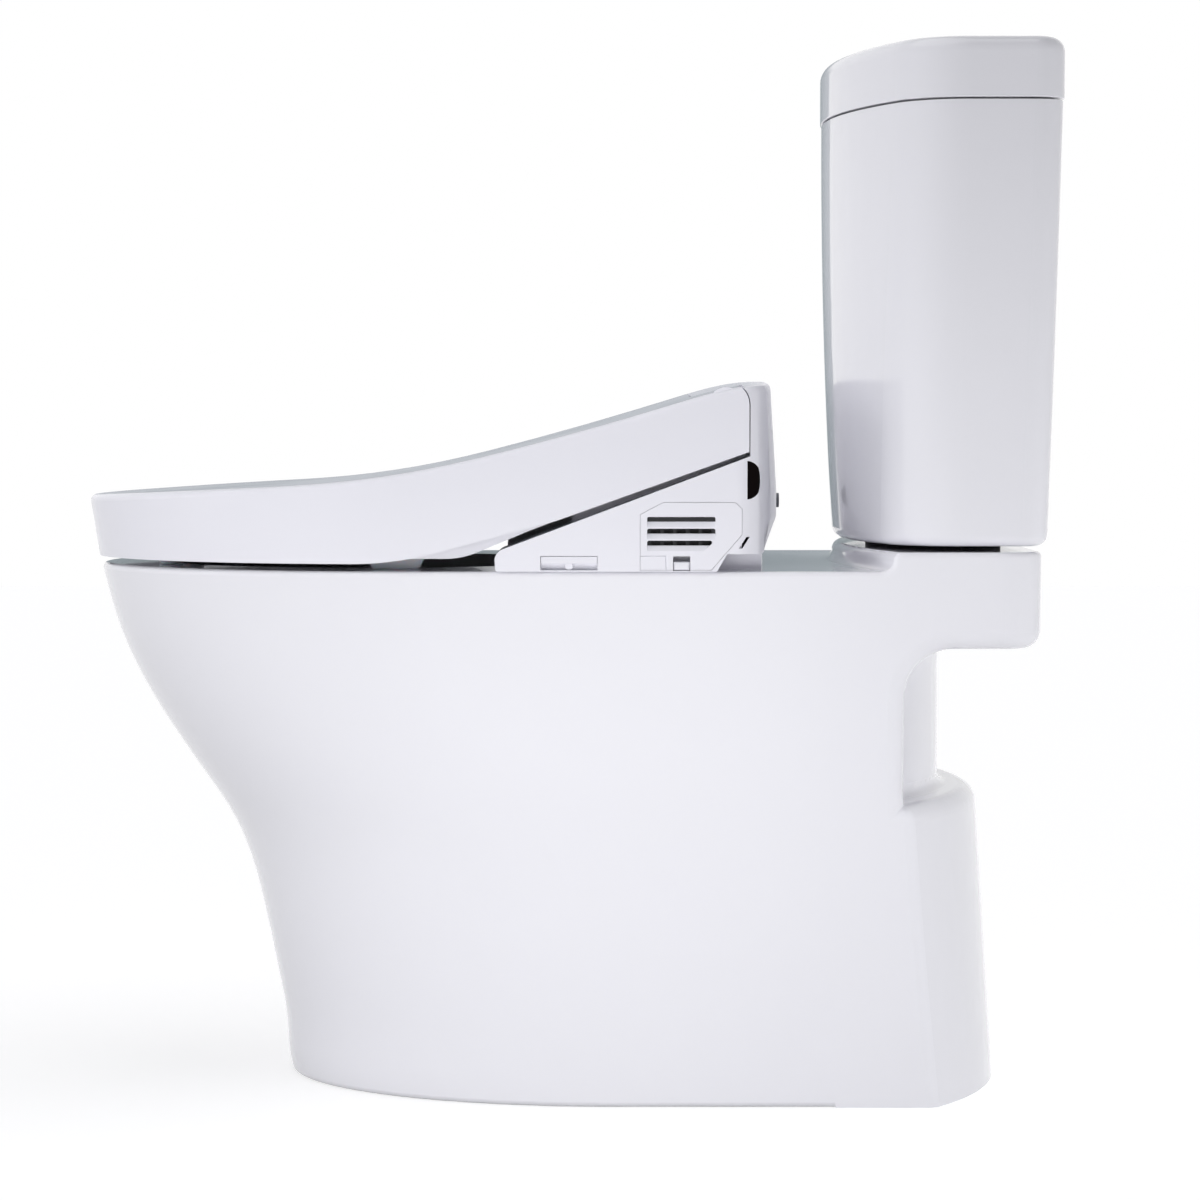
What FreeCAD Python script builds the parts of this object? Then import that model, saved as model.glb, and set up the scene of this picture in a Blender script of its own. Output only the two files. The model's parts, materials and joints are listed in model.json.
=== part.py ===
import FreeCAD, Part
import math
import os
from FreeCAD import Vector as V

# Skirted two-piece toilet with a bidet seat. Millimetres: X across, Y from the front to the wall, Z up.

# Bowl outside
RIM_Z = 406.0              # rim and seat deck above the floor
RIM_HALF = 187.0           # half width at the rim
FOOT_HALF = 150.0          # half width at the floor
BOWL_TIP = -362.0          # front of the rim
FOOT_TIP = -213.0          # front of the foot
NOSE = 255.0               # length of the rounded front
SKIRT_SWELL = 0.35         # swell of the sides between foot and rim
RIM_ROUND = 4.0
FOOT_ROUND = 5.0
# Front of the skirt: height share, overhang share
FRONT_CURVE = [(0.0, 0.0), (0.10, 0.035), (0.20, 0.08), (0.35, 0.165), (0.50, 0.305),
               (0.61, 0.50), (0.74, 0.731), (0.88, 0.911), (1.0, 1.0)]
CHINA = 12.0               # wall of the bowl
DECK = 16.0                # china under the rim and the seat deck

# Rear of the bowl
PLATFORM_BACK = 359.0
PLATFORM_DEPTH = 58.0      # underside of the platform below the rim
PLATFORM_RISE = 14.0       # tank platform above the rim
PLATFORM_CORNER = 30.0
STEP_FOOT = 209.5          # foot of the step from the deck to the platform
STEP_HOLLOW = 8.0          # hollow radius at that foot
STEP_BOW = 600.0           # bow of the step seen from above
STEP_SWING = 40.0          # degrees that bow is swept to each side
SKIRT_BACK = 257.0
SKIRT_FOOT_BACK = 280.0
SKIRT_KNEE = 240.0         # height where the back edge turns upright
KNEE_ROUND = 40.0
SKIRT_COVE = 36.0
NOTCH_ROUND = 13.0         # rounding of the edges round the rear notch
COLUMN_HALF = 128.0
COLUMN_BACK = 299.0
SHELF_Z = 232.0
SHELF_BACK = 328.0
SHELF_ROUND = 14.0
BLOCK_BACK = 344.0
BLOCK_LAP = 4.0            # housing sides run on past the back edge of the skirt
CREASE_ROUND = 12.0
BULGE_COVE = 9.0

# Basin and trapway
RIM_LAND_FRONT = 52.0
RIM_LAND_SIDE = 60.0
BASIN_BACK = 22.0
LIP_DEPTH = 20.0
RIM_UNDERCUT = 10.0
BASIN_DEPTH = 226.0
SUMP_Y = -80.0
SUMP_LENGTH = 44.0
SUMP_WIDTH = 40.0
TRAP_R = 27.0
TRAP_WALL = 10.0
TRAP_BEND = 55.0
TRAP_RISE = 115.0          # corner of the trapway above its start
OUTLET_Y = 81.0
OUTLET_Z = 52.0            # lower end of the outlet spigot

# Flush passage, platform pockets and holes of the bowl
INLET_Y = 290.0
INLET_R = 34.0
RECESS_R = 48.0
RECESS_DEPTH = 12.0
DUCT_HALF = 40.0
DUCT_HEIGHT = 20.0
DUCT_ROOF = 14.0
POCKET_IN = 62.0
POCKET_OUT = 172.0
POCKET_FRONT = 302.0
POCKET_BACK = 345.0
POCKET_ROOF = 24.0
SEAT_BOLT_X = 70.0         # half of the usual 140 mm spacing
SEAT_BOLT_Y = 108.0
SEAT_BOLT_HOLE = 8.0
SEAT_BOLT_R = 3.0
SEAT_HEAD_R = 8.0
SEAT_HEAD = 3.0
BULB_R = 12.0              # wedge of a seat bushing under the deck
BULB = 18.0

# Tank
TANK_GAP = 4.0             # tank above the platform
TANK_HEIGHT = 325.0
TANK_HALF_LOW = 180.0
TANK_HALF_TOP = 195.0
TANK_FRONT_LOW = 217.5
TANK_FRONT_TOP = 207.0
TANK_BACK_LOW = 363.0
TANK_BACK_TOP = 370.0
TANK_BOW_LOW = 430.0
TANK_BOW_TOP = 345.0
TANK_CORNER = 58.0
TANK_BACK_CORNER = 22.0
INNER_CORNER = 6.0         # least corner radius inside
TANK_WALL = 10.0
TANK_FLOOR = 12.0
TANK_EDGE = 9.0
SEAM = 0.3                 # pieces that rest on one another
LID_HEIGHT = 46.0
LID_OVERHANG = 1.0
LID_EDGE = 11.0
LID_CHINA = 11.0
LID_TONGUE = 8.0           # rib that drops into the tank
TONGUE_PLAY = 2.0

# Tank fittings
TANK_BOLT_X = 95.0
TANK_BOLT_Y = 322.0
BOLT_R = 4.0
BOLT_PLAY = 1.0
BOLT_HEAD_R = 9.0
BOLT_HEAD = 6.0
WASHER_R = 15.0
WASHER = 3.0
NUT_R = 9.0
NUT = 7.0
VALVE_SHANK_R = 31.0
VALVE_BORE_R = 26.0
VALVE_FLANGE_R = 54.0
VALVE_FLANGE = 6.0
VALVE_SEAT = 4.0
VALVE_LOCKNUT_R = 42.0
VALVE_LOCKNUT = 11.0
GUIDE_R = 5.0
POST_Y = 46.0
POST_R = 4.0
LEVER_Z = 266.0            # lever axle above the tank floor
AXLE_R = 3.0
RUNNING = 0.08             # radial play of a turning or sliding fit
LEVER_HALF = 3.0
PRESS_ARM = 18.0
LIFT_ARM = 30.0
CANISTER_R = 36.0
CANISTER_WALL = 2.5
CANISTER_HEIGHT = 190.0
SEAL = 4.0
FILL_X = -136.0
FILL_Y = 320.0
FILL_SHANK_R = 12.5
FILL_TAIL_R = 11.0         # free end of the shank for the supply nut
FILL_TAIL = 24.0
FILL_BORE_R = 6.0
FILL_NUT_R = 19.0
FILL_NUT = 12.0
NUT_ROOM = 5.0             # round that nut
FILL_RISER_R = 13.0
FILL_RISER = 200.0
FILL_HEAD_R = 20.0
FILL_HEAD = 30.0
FILL_FLANGE = 4.0
SPOUT_RISE = 12.0          # hose spout above the riser
FLOAT_R = 33.0
FLOAT_HEIGHT = 58.0
FLOAT_Z = 96.0             # float above the tank floor when the tank is empty
HOSE_R = 4.0
HOSE_WALL = 1.5
HOSE_BEND = 12.0
HOSE_CLEAR = 34.0         # hose end above the canister
HOSE_ASIDE = 28.0

# Flush buttons
BEZEL_R = 30.0
BEZEL_FLANGE = 2.5
BUTTON_R = 25.0
BUTTON_PLAY = 0.5
BUTTON_HEIGHT = 12.0
BUTTON_PROUD = 1.5
SPLIT_X = -7.0             # line between the large and the small button
ROD_R = 3.0
ROD_PLAY = 0.5

# Floor adapter
FLANGE_BOLT = 76.2         # half of the 152.4 mm flange bolt spacing
ADAPTER_HALF = 96.0
ADAPTER_WIDTH = 56.0
ADAPTER_PLATE = 8.0
SOCKET_R = 41.0
SOCKET_WALL = 5.0
SOCKET_TOP = 80.0
FLANGE_SLOT_R = 4.5
FLANGE_SLOT = 24.0         # length of a bolt slot
ADAPTER_CORNER = 20.0
SCREW_R = 3.0
SCREW_X = ADAPTER_HALF - 12.0
SCREW_Y = OUTLET_Y + ADAPTER_WIDTH - 14.0
SCREW_HEAD = 4.0
SEAL_SHY = 4.0             # seal short of the socket at both ends

# Bidet seat: cover
HINGE_Y = 124.0
HINGE_Z = 122.0            # hinge above the rim
COVER_TIP = -362.6
COVER_FLARE = 9.0          # degrees, front of the cover leaning forward
COVER_HALF = 186.0
COVER_NOSE = 250.0
COVER_WALL = 3.5
COVER_EDGE_Z = 5.4         # lower edge above the rim
COVER_LIFT = 6.0           # that edge above the foot of the unit's slope
COVER_LIFT_REAR = 3.5      # and above its head
COVER_END_R = 17.0         # rounded rear end about the hinge
END_GAP = 0.8              # between that end and the unit
COVER_ROUND = 5.0
BARREL_R = 25.2            # barrel of the unit about the hinge
SEAM_WIDE = 1.0
# Crown of the top: Y, height above the rim, fall at the side
TOP_CURVE = [(-400.0, 48.5, 0.5), (-336.0, 55.0, 0.6), (-255.0, 60.0, 1.0), (-174.0, 66.0, 2.0),
             (-95.0, 78.0, 3.2), (-18.0, 97.0, 4.2), (59.0, 119.0, 4.8), (100.0, 131.5, 5.0),
             (125.0, 138.0, 5.0), (147.0, 140.9, 5.0), (190.0, 141.0, 5.0)]

# Bidet seat: unit behind the seat
UNIT_HALF = 187.0
UNIT_WALL = 3.0
UNIT_BACK = 167.0
UNIT_CORNER = 36.0
HORN_TIP = -46.0
HORN_RISE = 14.0
HORN_IN = 132.0
SLOPE_RISE = 84.5
TOWER_REACH = 14.0         # inner shapes overlap the tower by this much
UNDERCUT = 13.0            # clear height under the rear of the unit
UNDERCUT_Y = 117.5
UNDERCUT_RUN = 7.5
TOWER_FRONT = 137.0
UNIT_ROUND = 6.0           # rounding of the top rear edges
BLOCK_X = 147.0
FRONT_Y = 9.0
FRONT_RISE = 58.0
SPLIT_RISE = 36.0          # joint between lower case and upper cover
PLATE_HALF = 95.0
PLATE_FRONT = 70.0
PLATE_REAR = 150.0
PLATE = 6.0
PLATE_PLAY = 0.6
SHAFT_R = 4.0
DAMPER_R = 9.0
ARM_IN = 150.0
ARM_OUT = 166.0
COVER_BOSS_IN = 168.0

# Bidet seat: details on the shown side
SILL = 1.0                 # lowest edge of panel, notch and port above the rim
FILTER_FRONT = 61.0
FILTER_REAR = 136.0
FILTER_TOP = 51.0
FILTER_PANEL = 2.5
FILTER_GAP = 0.3
FILTER_DEPTH = 26.0
BAY_FRONT = 66.0
BAY_REAR = 120.0
BAY_LOW = 14.0
BAY_TOP = 40.0
BAY_PLAY = 0.5
CELLS = 5
CELL_PITCH = 9.4
CELL = 7.0
CELL_DEPTH = 6.0
LOUVRES = 3
LOUVRE_START = 66.3
LOUVRE_LENGTH = 50.0
LOUVRE_HEIGHT = 7.6
LOUVRE_OPEN = 3.6          # clear height behind a slanted blade
LOUVRE_PITCH = 8.75
LOUVRE_TOP = 40.3          # upper edge of the top louvre above the rim
LOUVRE_SLANT = 8.5         # slanted end of the lowest louvre
TAB_WIDTH = 18.7
TAB_GROOVE = 0.7
TAB_DEPTH = 1.2
RELEASE_Y = 91.6
RELEASE_WIDTH = 11.8
RELEASE_NOTCH = 10.7
RELEASE_HEIGHT = 6.2
RELEASE_PLAY = 0.4
RELEASE_DEPTH = 20.0
RELEASE_LENGTH = 11.5
RELEASE_SHY = 0.5          # button behind the face of the unit
VENT_Y = 133.5
VENT_LOW = 17.0
VENT_HEIGHT = 8.5
VENT_LEAN = 5.5
VENT_WIDTH = 2.5
PORT_FRONT = -12.0
PORT_REAR = 30.0
PORT_HEIGHT = 10.5
PORT_DEPTH = 8.0
PORT_PLAY = 0.4
PLUG_R = 3.0
LENS_Y = 139.6
LENS_WIDTH = 11.0
LENS_LOW = 53.0
LENS_HEIGHT = 28.0

# Bidet seat: wand, dryer and inner modules
WAND_TILT = 35.0
WAND_R = 9.0
WAND_LENGTH = 128.0
WAND_Z = 17.5              # wand axis above the rim at the front of the unit
WAND_SETBACK = 9.0
WAND_WALL = 1.5
WINDOW_HALF = 16.0
WINDOW_LOW = 3.0
WINDOW_TOP = 32.0
CAP_R = 10.5
CAP = 2.0
NOZZLE_BACK = 9.0          # spray nozzle behind the tip of the wand
NOZZLE_R = 4.0
JETS = 5
JET_R = 0.5
RAIL_PLAY = 0.5
RAIL_WALL = 2.5
FLAP_X = -92.0
FLAP_HALF = 18.0
FLAP_LOW = 12.0
FLAP_TOP = 31.0
FLAP = 2.0
FLAP_PIN_R = 1.5
FLAP_EYE = 0.8             # wall of the flap round its pin
FLAP_GAP = 1.6
FAN_X = -92.0
FAN_Y = 108.0
FAN_RISE = 52.0
FAN_R = 36.0
FAN_WIDTH = 30.0
FAN_SHAFT_R = 3.0
FAN_WALL = 2.0
FAN_EYE_R = 14.0
WHEEL_R = 28.0
BLADES = 16
FAN_MOTOR_R = 16.0
FAN_MOTOR = 22.0
HOSE_Y = 100.0             # water inlet on the far side of the unit
INLET_RISE = 24.0
INLET_THREAD_R = 10.4
INLET_THREAD = 8.6
INLET_NECK_R = 9.0
INLET_BORE_R = 6.0
INLET_CASE = 26.0
CORD_X = -60.0
CORD_RISE = 46.0
CORD_R = 3.5
GLAND_R = 5.8
GLAND_PLAY = 0.2           # of the cord gland and the water inlet in the case
GLAND_IN = 8.0
GLAND_OUT = 10.0
COLLAR_R = 9.0
COLLAR = 3.0
HEATER_IN = 44.0
HEATER_OUT = 124.0
HEATER_FRONT = 48.0
HEATER_REAR = 128.0
HEATER_HEIGHT = 52.0
HEATER_PORT_R = 5.0
BOARD_X = -136.0
BOARD = 1.6
BOARD_FRONT = 30.0
BOARD_LENGTH = 90.0
BOARD_HEIGHT = 52.0
CHIPS = 4
CHIP = 5.0

# Bidet seat: seat ring
SEAT_TIP = -356.0
SEAT_HALF = 177.0
SEAT_NOSE = 246.0
SEAT_REAR = -5.0
SEAT_LOW = 9.0             # underside above the rim
SEAT_THICK = 23.0
SEAT_HOLE_HALF = 106.0
SEAT_HOLE_FRONT = -296.0
SEAT_HOLE_REAR = -38.0
SEAT_BASE = 4.0
SEAT_WALL = 4.0
SEAT_LIFT = 6.0            # seat rails above the slope of the unit
SEAT_BEND = -70.0          # where the rails start to climb
SEAT_ROUND = 8.0
EYE_R = 7.0
PAD_LENGTH = 44.0
PAD_WIDTH = 14.0
PAD_X = 140.0
PAD_Y = -121.0
PAD_FRONT_X = 62.0
PAD_FRONT_Y = -300.0

PLATFORM_Z = RIM_Z + PLATFORM_RISE
PLATFORM_LOW = RIM_Z - PLATFORM_DEPTH
TANK_LOW = PLATFORM_Z + TANK_GAP
TANK_TOP = TANK_LOW + TANK_HEIGHT
TANK_INSIDE = TANK_LOW + TANK_FLOOR
LID_LOW = TANK_TOP + SEAM
LID_TOP = LID_LOW + LID_HEIGHT
HINGE = V(0, HINGE_Y, RIM_Z + HINGE_Z)
ABOVE = HINGE.z + 60.0     # clear of everything on the seat
COVER_REAR = HINGE_Y + COVER_END_R
SLOPE_END = COVER_REAR + END_GAP
FLOOR = RIM_Z + UNIT_WALL


def yz(x):
    return lambda u, v: V(x, u, v)


def xy(z):
    return lambda u, v: V(u, v, z)


def outline(corners, place):
    # closed outline through corners (u, v) or (u, v, rounding radius)
    marks = []
    count = len(corners)
    for i, corner in enumerate(corners):
        here = V(corner[0], corner[1], 0)
        before = V(corners[i - 1][0], corners[i - 1][1], 0) - here
        after = V(corners[(i + 1) % count][0], corners[(i + 1) % count][1], 0) - here
        before.normalize()
        after.normalize()
        radius = corner[2] if len(corner) > 2 else 0.0
        if radius == 0.0:
            marks.append((here, here, here))
            continue
        half = before.getAngle(after) / 2
        middle = before + after
        middle.normalize()
        reach = radius / math.tan(half)
        bulge_point = here + middle * (radius / math.sin(half) - radius)
        marks.append((here + before * reach, bulge_point, here + after * reach))
    put = [[place(p.x, p.y) for p in mark] for mark in marks]
    edges = []
    for i, (start, mid, end) in enumerate(put):
        if start.distanceToPoint(end) > 1e-6:
            edges.append(Part.Arc(start, mid, end).toShape())
        following = put[(i + 1) % count][0]
        if end.distanceToPoint(following) > 1e-6:
            edges.append(Part.makeLine(end, following))
    return Part.Wire(edges)


def across(corners, x0, x1):
    return Part.Face(outline(corners, yz(x0))).extrude(V(x1 - x0, 0, 0))


def upright(corners, z0, z1):
    return Part.Face(outline(corners, xy(z0))).extrude(V(0, 0, z1 - z0))


def box(x0, x1, y0, y1, z0, z1):
    return Part.makeBox(x1 - x0, y1 - y0, z1 - z0, V(x0, y0, z0))


def rod(radius, start, end):
    return Part.makeCylinder(radius, start.distanceToPoint(end), start, end - start)


def drum(radius, x, y, z0, z1):
    return rod(radius, V(x, y, z0), V(x, y, z1))


def ring(outer, inner, x, y, z0, z1):
    return drum(outer, x, y, z0, z1).cut(drum(inner, x, y, z0, z1))


def hexagon(radius, x, y, z0, z1):
    turns = [math.radians(60 * i) for i in range(6)]
    return upright([(x + radius * math.cos(a), y + radius * math.sin(a)) for a in turns], z0, z1)


def mirrored(shape):
    return shape.mirror(V(0, 0, 0), V(1, 0, 0))


def both(shape):
    return shape.fuse(mirrored(shape))


def pair(shape):
    return Part.makeCompound([shape, mirrored(shape)])


def whole(shape):
    return shape.removeSplitter()


def save(name, shape):
    shape.exportStep("parts/" + name + ".step")


def level(edge, z):
    return abs(edge.BoundBox.ZMin - z) < 0.01 and abs(edge.BoundBox.ZMax - z) < 0.01


def nose_wire(half, tip, shoulder, back, z):
    # rounded front, straight sides, flat back
    curve = Part.Ellipse(V(0, tip, z), V(half, shoulder, z), V(0, shoulder, z))
    front = Part.ArcOfEllipse(curve, -math.pi / 2, math.pi / 2).toShape()
    right = Part.makeLine(V(half, shoulder, z), V(half, back, z))
    rear = Part.makeLine(V(half, back, z), V(-half, back, z))
    left = Part.makeLine(V(-half, back, z), V(-half, shoulder, z))
    return Part.Wire([front, right, rear, left])


def oval(half, front, back, z):
    middle = V(0, (front + back) / 2, z)
    return Part.Wire(Part.Ellipse(V(0, front, z), V(half, middle.y, z), middle).toShape())


# Bowl

def skirt_half(z):
    rise = z / RIM_Z
    return FOOT_HALF + (RIM_HALF - FOOT_HALF) * rise * (1 + SKIRT_SWELL * (1 - rise))


def bowl_section(rise, share, inset, back):
    z = RIM_Z * rise
    tip = FOOT_TIP + (BOWL_TIP - FOOT_TIP) * share
    return nose_wire(skirt_half(z) - inset, tip + inset, tip + NOSE, back, z)


def above_deck():
    # everything over the deck, with the bowed step up to the seat of the tank
    crown = PLATFORM_RISE - STEP_HOLLOW
    middle = V(0, STEP_FOOT + STEP_HOLLOW, RIM_Z + STEP_HOLLOW)
    foot = V(0, STEP_FOOT, RIM_Z)
    top = V(0, middle.y + crown, PLATFORM_Z)
    turn = math.sqrt(0.5)
    hollow = Part.Arc(foot, foot + V(0, STEP_HOLLOW * turn, STEP_HOLLOW * (1 - turn)), middle).toShape()
    round_over = Part.Arc(middle, top - V(0, crown * turn, crown * (1 - turn)), top).toShape()
    front = BOWL_TIP - NOSE
    back = PLATFORM_BACK + NOSE / 2
    corners = [top, V(0, back, PLATFORM_Z), V(0, back, TANK_TOP), V(0, front, TANK_TOP), V(0, front, RIM_Z)]
    corners.append(foot)
    rest =[Part.makeLine(a, b) for a, b in zip(corners, corners[1:])]
    side = Part.Face(Part.Wire([hollow, round_over] + rest))
    axis = V(0, STEP_FOOT + STEP_BOW, 0)
    side.rotate(axis, V(0, 0, 1), -STEP_SWING)
    return side.revolve(axis, V(0, 0, 1), 2 * STEP_SWING)


def bowl_outside():
    over = 2 * PLATFORM_RISE / RIM_Z
    rows = FRONT_CURVE + [(1 + over, 1 + over)]
    body = Part.makeLoft([bowl_section(t, s, 0, PLATFORM_BACK) for t, s in rows], True)
    corners = [e for e in body.Edges if e.BoundBox.YMin > PLATFORM_BACK - 1]
    corners = [e for e in corners if e.BoundBox.ZLength > RIM_Z / 2]
    return body.makeFillet(PLATFORM_CORNER, corners).cut(above_deck())


def rear_notch():
    beyond = PLATFORM_BACK + NOSE
    return across([(beyond, PLATFORM_LOW), (SKIRT_BACK, PLATFORM_LOW, SKIRT_COVE),
                   (SKIRT_BACK, SKIRT_KNEE, KNEE_ROUND), (SKIRT_FOOT_BACK, -1), (beyond, -1)],
                  -2 * RIM_HALF, 2 * RIM_HALF)


def runs_across(edge):
    return edge.BoundBox.XLength > RIM_HALF and edge.BoundBox.YMax < PLATFORM_BACK - 1


def skirt(outside):
    # bowl above and ahead of the rear notch, with its edges rounded
    body = outside.cut(rear_notch())
    rear = [e for e in body.Edges if e.BoundBox.YMin > SKIRT_BACK - 1 and not runs_across(e)]
    body = body.makeFillet(NOTCH_ROUND, [e for e in rear if 1 < e.BoundBox.ZMax < RIM_Z - 1])
    top = [e for e in body.Edges if e.BoundBox.ZMin > RIM_Z - 0.01]
    steps = [e for e in top if runs_across(e) and e.BoundBox.YMin > STEP_FOOT - 1]
    body = body.makeFillet(RIM_ROUND, [e for e in top if not any(e.isSame(step) for step in steps)])
    return body.makeFillet(FOOT_ROUND, [e for e in body.Edges if level(e, 0)])


def bulge(half, chord, back, inset, z):
    # circle that bulges back to the given line and crosses the chord at the given half width
    rise = back - chord
    radius = (half ** 2 + rise ** 2) / (2 * rise)
    return Part.Wire(Part.makeCircle(radius - inset, V(0, back - radius, z)))


def trap_housing(inset):
    # bulged column on a foot block
    top = SHELF_Z - inset
    foot = bulge(skirt_half(0), SKIRT_FOOT_BACK + BLOCK_LAP, BLOCK_BACK, inset, 0)
    shelf = bulge(skirt_half(SHELF_Z), SKIRT_BACK + BLOCK_LAP, SHELF_BACK, inset, top)
    block = Part.makeLoft([foot, shelf], True, True)
    column = bulge(COLUMN_HALF, SKIRT_BACK - BLOCK_LAP, COLUMN_BACK, inset, 0)
    column = slab(column, PLATFORM_LOW + CHINA - inset)
    if inset:
        return block.fuse(column)
    block = block.makeFillet(SHELF_ROUND, [e for e in block.Edges if level(e, top)])
    body = block.fuse(column)
    cove = [e for e in body.Edges if level(e, top) and e.BoundBox.YMax < COLUMN_BACK + 1]
    return body.makeFillet(BULGE_COVE, cove)


def rear_housing(outside):
    # housing of the trapway behind the notch, flush with the sides of the skirt
    front = SKIRT_BACK - 4 * CHINA
    body = trap_housing(0).common(outside)
    body = body.common(box(-RIM_HALF, RIM_HALF, front, PLATFORM_BACK, 0, PLATFORM_LOW + CHINA))
    sides = [e for e in body.Edges if abs(e.CenterOfMass.x) > COLUMN_HALF]
    sides = [e for e in sides if e.BoundBox.YMin > front + 1]
    return body.makeFillet(CREASE_ROUND, [e for e in sides if 1 < e.BoundBox.ZMax < SHELF_Z + 1])


def tank_wire(z, inset):
    rise = (z - TANK_LOW) / TANK_HEIGHT
    curve = 1 - (1 - rise) ** 2
    half = TANK_HALF_LOW + (TANK_HALF_TOP - TANK_HALF_LOW) * curve - inset
    front = TANK_FRONT_LOW + (TANK_FRONT_TOP - TANK_FRONT_LOW) * curve + inset
    back = TANK_BACK_LOW + (TANK_BACK_TOP - TANK_BACK_LOW) * rise - inset
    bow = TANK_BOW_LOW + (TANK_BOW_TOP - TANK_BOW_LOW) * rise - inset
    rear = max(TANK_BACK_CORNER - inset, INNER_CORNER)
    return bowed_wire(half, front, back, bow, TANK_CORNER - inset, rear, z)


def bowed_wire(half, front, back, bow, corner, rear, z):
    # bowed front, round corners, flat back
    centre = V(0, front + bow, z)
    turn = V(half - corner, front + bow - math.sqrt((bow - corner) ** 2 - (half - corner) ** 2), z)
    way = turn - centre
    way.normalize()
    meet = centre + way * bow
    mid = way + V(1, 0, 0)
    mid.normalize()
    swing = turn + mid * corner
    diag = math.sqrt(0.5) * rear
    edges = [Part.Arc(V(-meet.x, meet.y, z), V(0, front, z), meet).toShape(),
             Part.Arc(meet, swing, V(half, turn.y, z)).toShape(),
             Part.makeLine(V(half, turn.y, z), V(half, back - rear, z)),
             Part.Arc(V(half, back - rear, z), V(half - rear + diag, back - rear + diag, z),
                      V(half - rear, back, z)).toShape(),
             Part.makeLine(V(half - rear, back, z), V(rear - half, back, z)),
             Part.Arc(V(rear - half, back, z), V(rear - half - diag, back - rear + diag, z),
                      V(-half, back - rear, z)).toShape(),
             Part.makeLine(V(-half, back - rear, z), V(-half, turn.y, z)),
             Part.Arc(V(-half, turn.y, z), V(-swing.x, swing.y, z), V(-meet.x, meet.y, z)).toShape()]
    return Part.Wire(edges)


def basin(grow):
    front = BOWL_TIP + RIM_LAND_FRONT
    half = RIM_HALF - RIM_LAND_SIDE
    low = RIM_Z - BASIN_DEPTH
    depth = BASIN_DEPTH - LIP_DEPTH
    rows = [(RIM_Z - LIP_DEPTH - 12, front - RIM_UNDERCUT, BASIN_BACK + RIM_UNDERCUT, half + RIM_UNDERCUT),
            (low + 0.68 * depth, front + 12, BASIN_BACK - 4, half - 5),
            (low + 0.39 * depth, front + 72, BASIN_BACK - 24, half - 31),
            (low + 0.12 * depth, front + 145, BASIN_BACK - 47, half - 65),
            (low - grow, SUMP_Y - SUMP_LENGTH, SUMP_Y + SUMP_LENGTH, SUMP_WIDTH)]
    wires = [oval(b + grow, f - grow, r + grow, z) for z, f, r, b in rows]
    bottom = Part.makeLoft(wires, True)
    neck = Part.makeLoft([oval(half + grow, front - grow, BASIN_BACK + grow, RIM_Z - LIP_DEPTH),
                          oval(half + RIM_UNDERCUT + grow, front - RIM_UNDERCUT - grow,
                               BASIN_BACK + RIM_UNDERCUT + grow, RIM_Z - LIP_DEPTH - 12)], True, True)
    mouth = Part.Face(oval(half + grow, front - grow, BASIN_BACK + grow, RIM_Z - LIP_DEPTH))
    return bottom.fuse([neck, mouth.extrude(V(0, 0, LIP_DEPTH + 1))])


def trap_path():
    start = V(0, SUMP_Y - 10, RIM_Z - BASIN_DEPTH + 22)
    corner = V(0, OUTLET_Y, start.z + TRAP_RISE)
    rise = start - corner
    rise.normalize()
    down = V(0, 0, -1)
    half = rise.getAngle(down) / 2
    reach = TRAP_BEND / math.tan(half)
    middle = rise + down
    middle.normalize()
    before = corner + rise * reach
    after = corner + down * reach
    top = corner + middle * (TRAP_BEND / math.sin(half) - TRAP_BEND)
    return start, before, top, after


def trapway(radius, end):
    start, before, top, after = trap_path()
    spine = Part.Wire([Part.makeLine(start, before), Part.Arc(before, top, after).toShape(),
                       Part.makeLine(after, V(0, OUTLET_Y, end))])
    mouth = Part.Wire(Part.makeCircle(radius, start, before - start))
    return spine.makePipeShell([mouth], True, True).fuse(Part.makeSphere(radius, start))


def bowl_hollow():
    # space under the basin, open at the floor, with the inner walls left standing
    inside = Part.makeLoft([bowl_section(t, s, CHINA, PLATFORM_BACK) for t, s in FRONT_CURVE], True)
    back = SKIRT_BACK - CHINA
    room = box(-RIM_HALF, RIM_HALF, BOWL_TIP, back, -1, RIM_Z - DECK)
    inside = inside.common(room.fuse(trap_housing(CHINA)))
    duct_low = RIM_Z - DUCT_ROOF - DUCT_HEIGHT - CHINA
    keep = [basin(CHINA), trapway(TRAP_R + TRAP_WALL, OUTLET_Z),
            box(-DUCT_HALF - CHINA, DUCT_HALF + CHINA, BASIN_BACK, back + 1, duct_low, RIM_Z)]
    return inside.cut(keep)


def flush_passage():
    roof = RIM_Z - DUCT_ROOF
    duct = box(-DUCT_HALF, DUCT_HALF, BASIN_BACK - 20, INLET_Y + INLET_R, roof - DUCT_HEIGHT, roof)
    duct = duct.makeFillet(7.0, [e for e in duct.Edges if e.BoundBox.YLength > 50])
    return duct.fuse([drum(INLET_R, 0, INLET_Y, roof - DUCT_HEIGHT, PLATFORM_Z + 1),
                      drum(RECESS_R, 0, INLET_Y, PLATFORM_Z - RECESS_DEPTH, PLATFORM_Z + 1)])


def platform_pocket():
    corners = [(POCKET_IN, POCKET_FRONT, 8), (POCKET_OUT, POCKET_FRONT, 8), (POCKET_OUT, POCKET_BACK, 14),
               (POCKET_IN, POCKET_BACK, 8)]
    return upright(corners, PLATFORM_LOW - 1, PLATFORM_Z - POCKET_ROOF)


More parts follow.
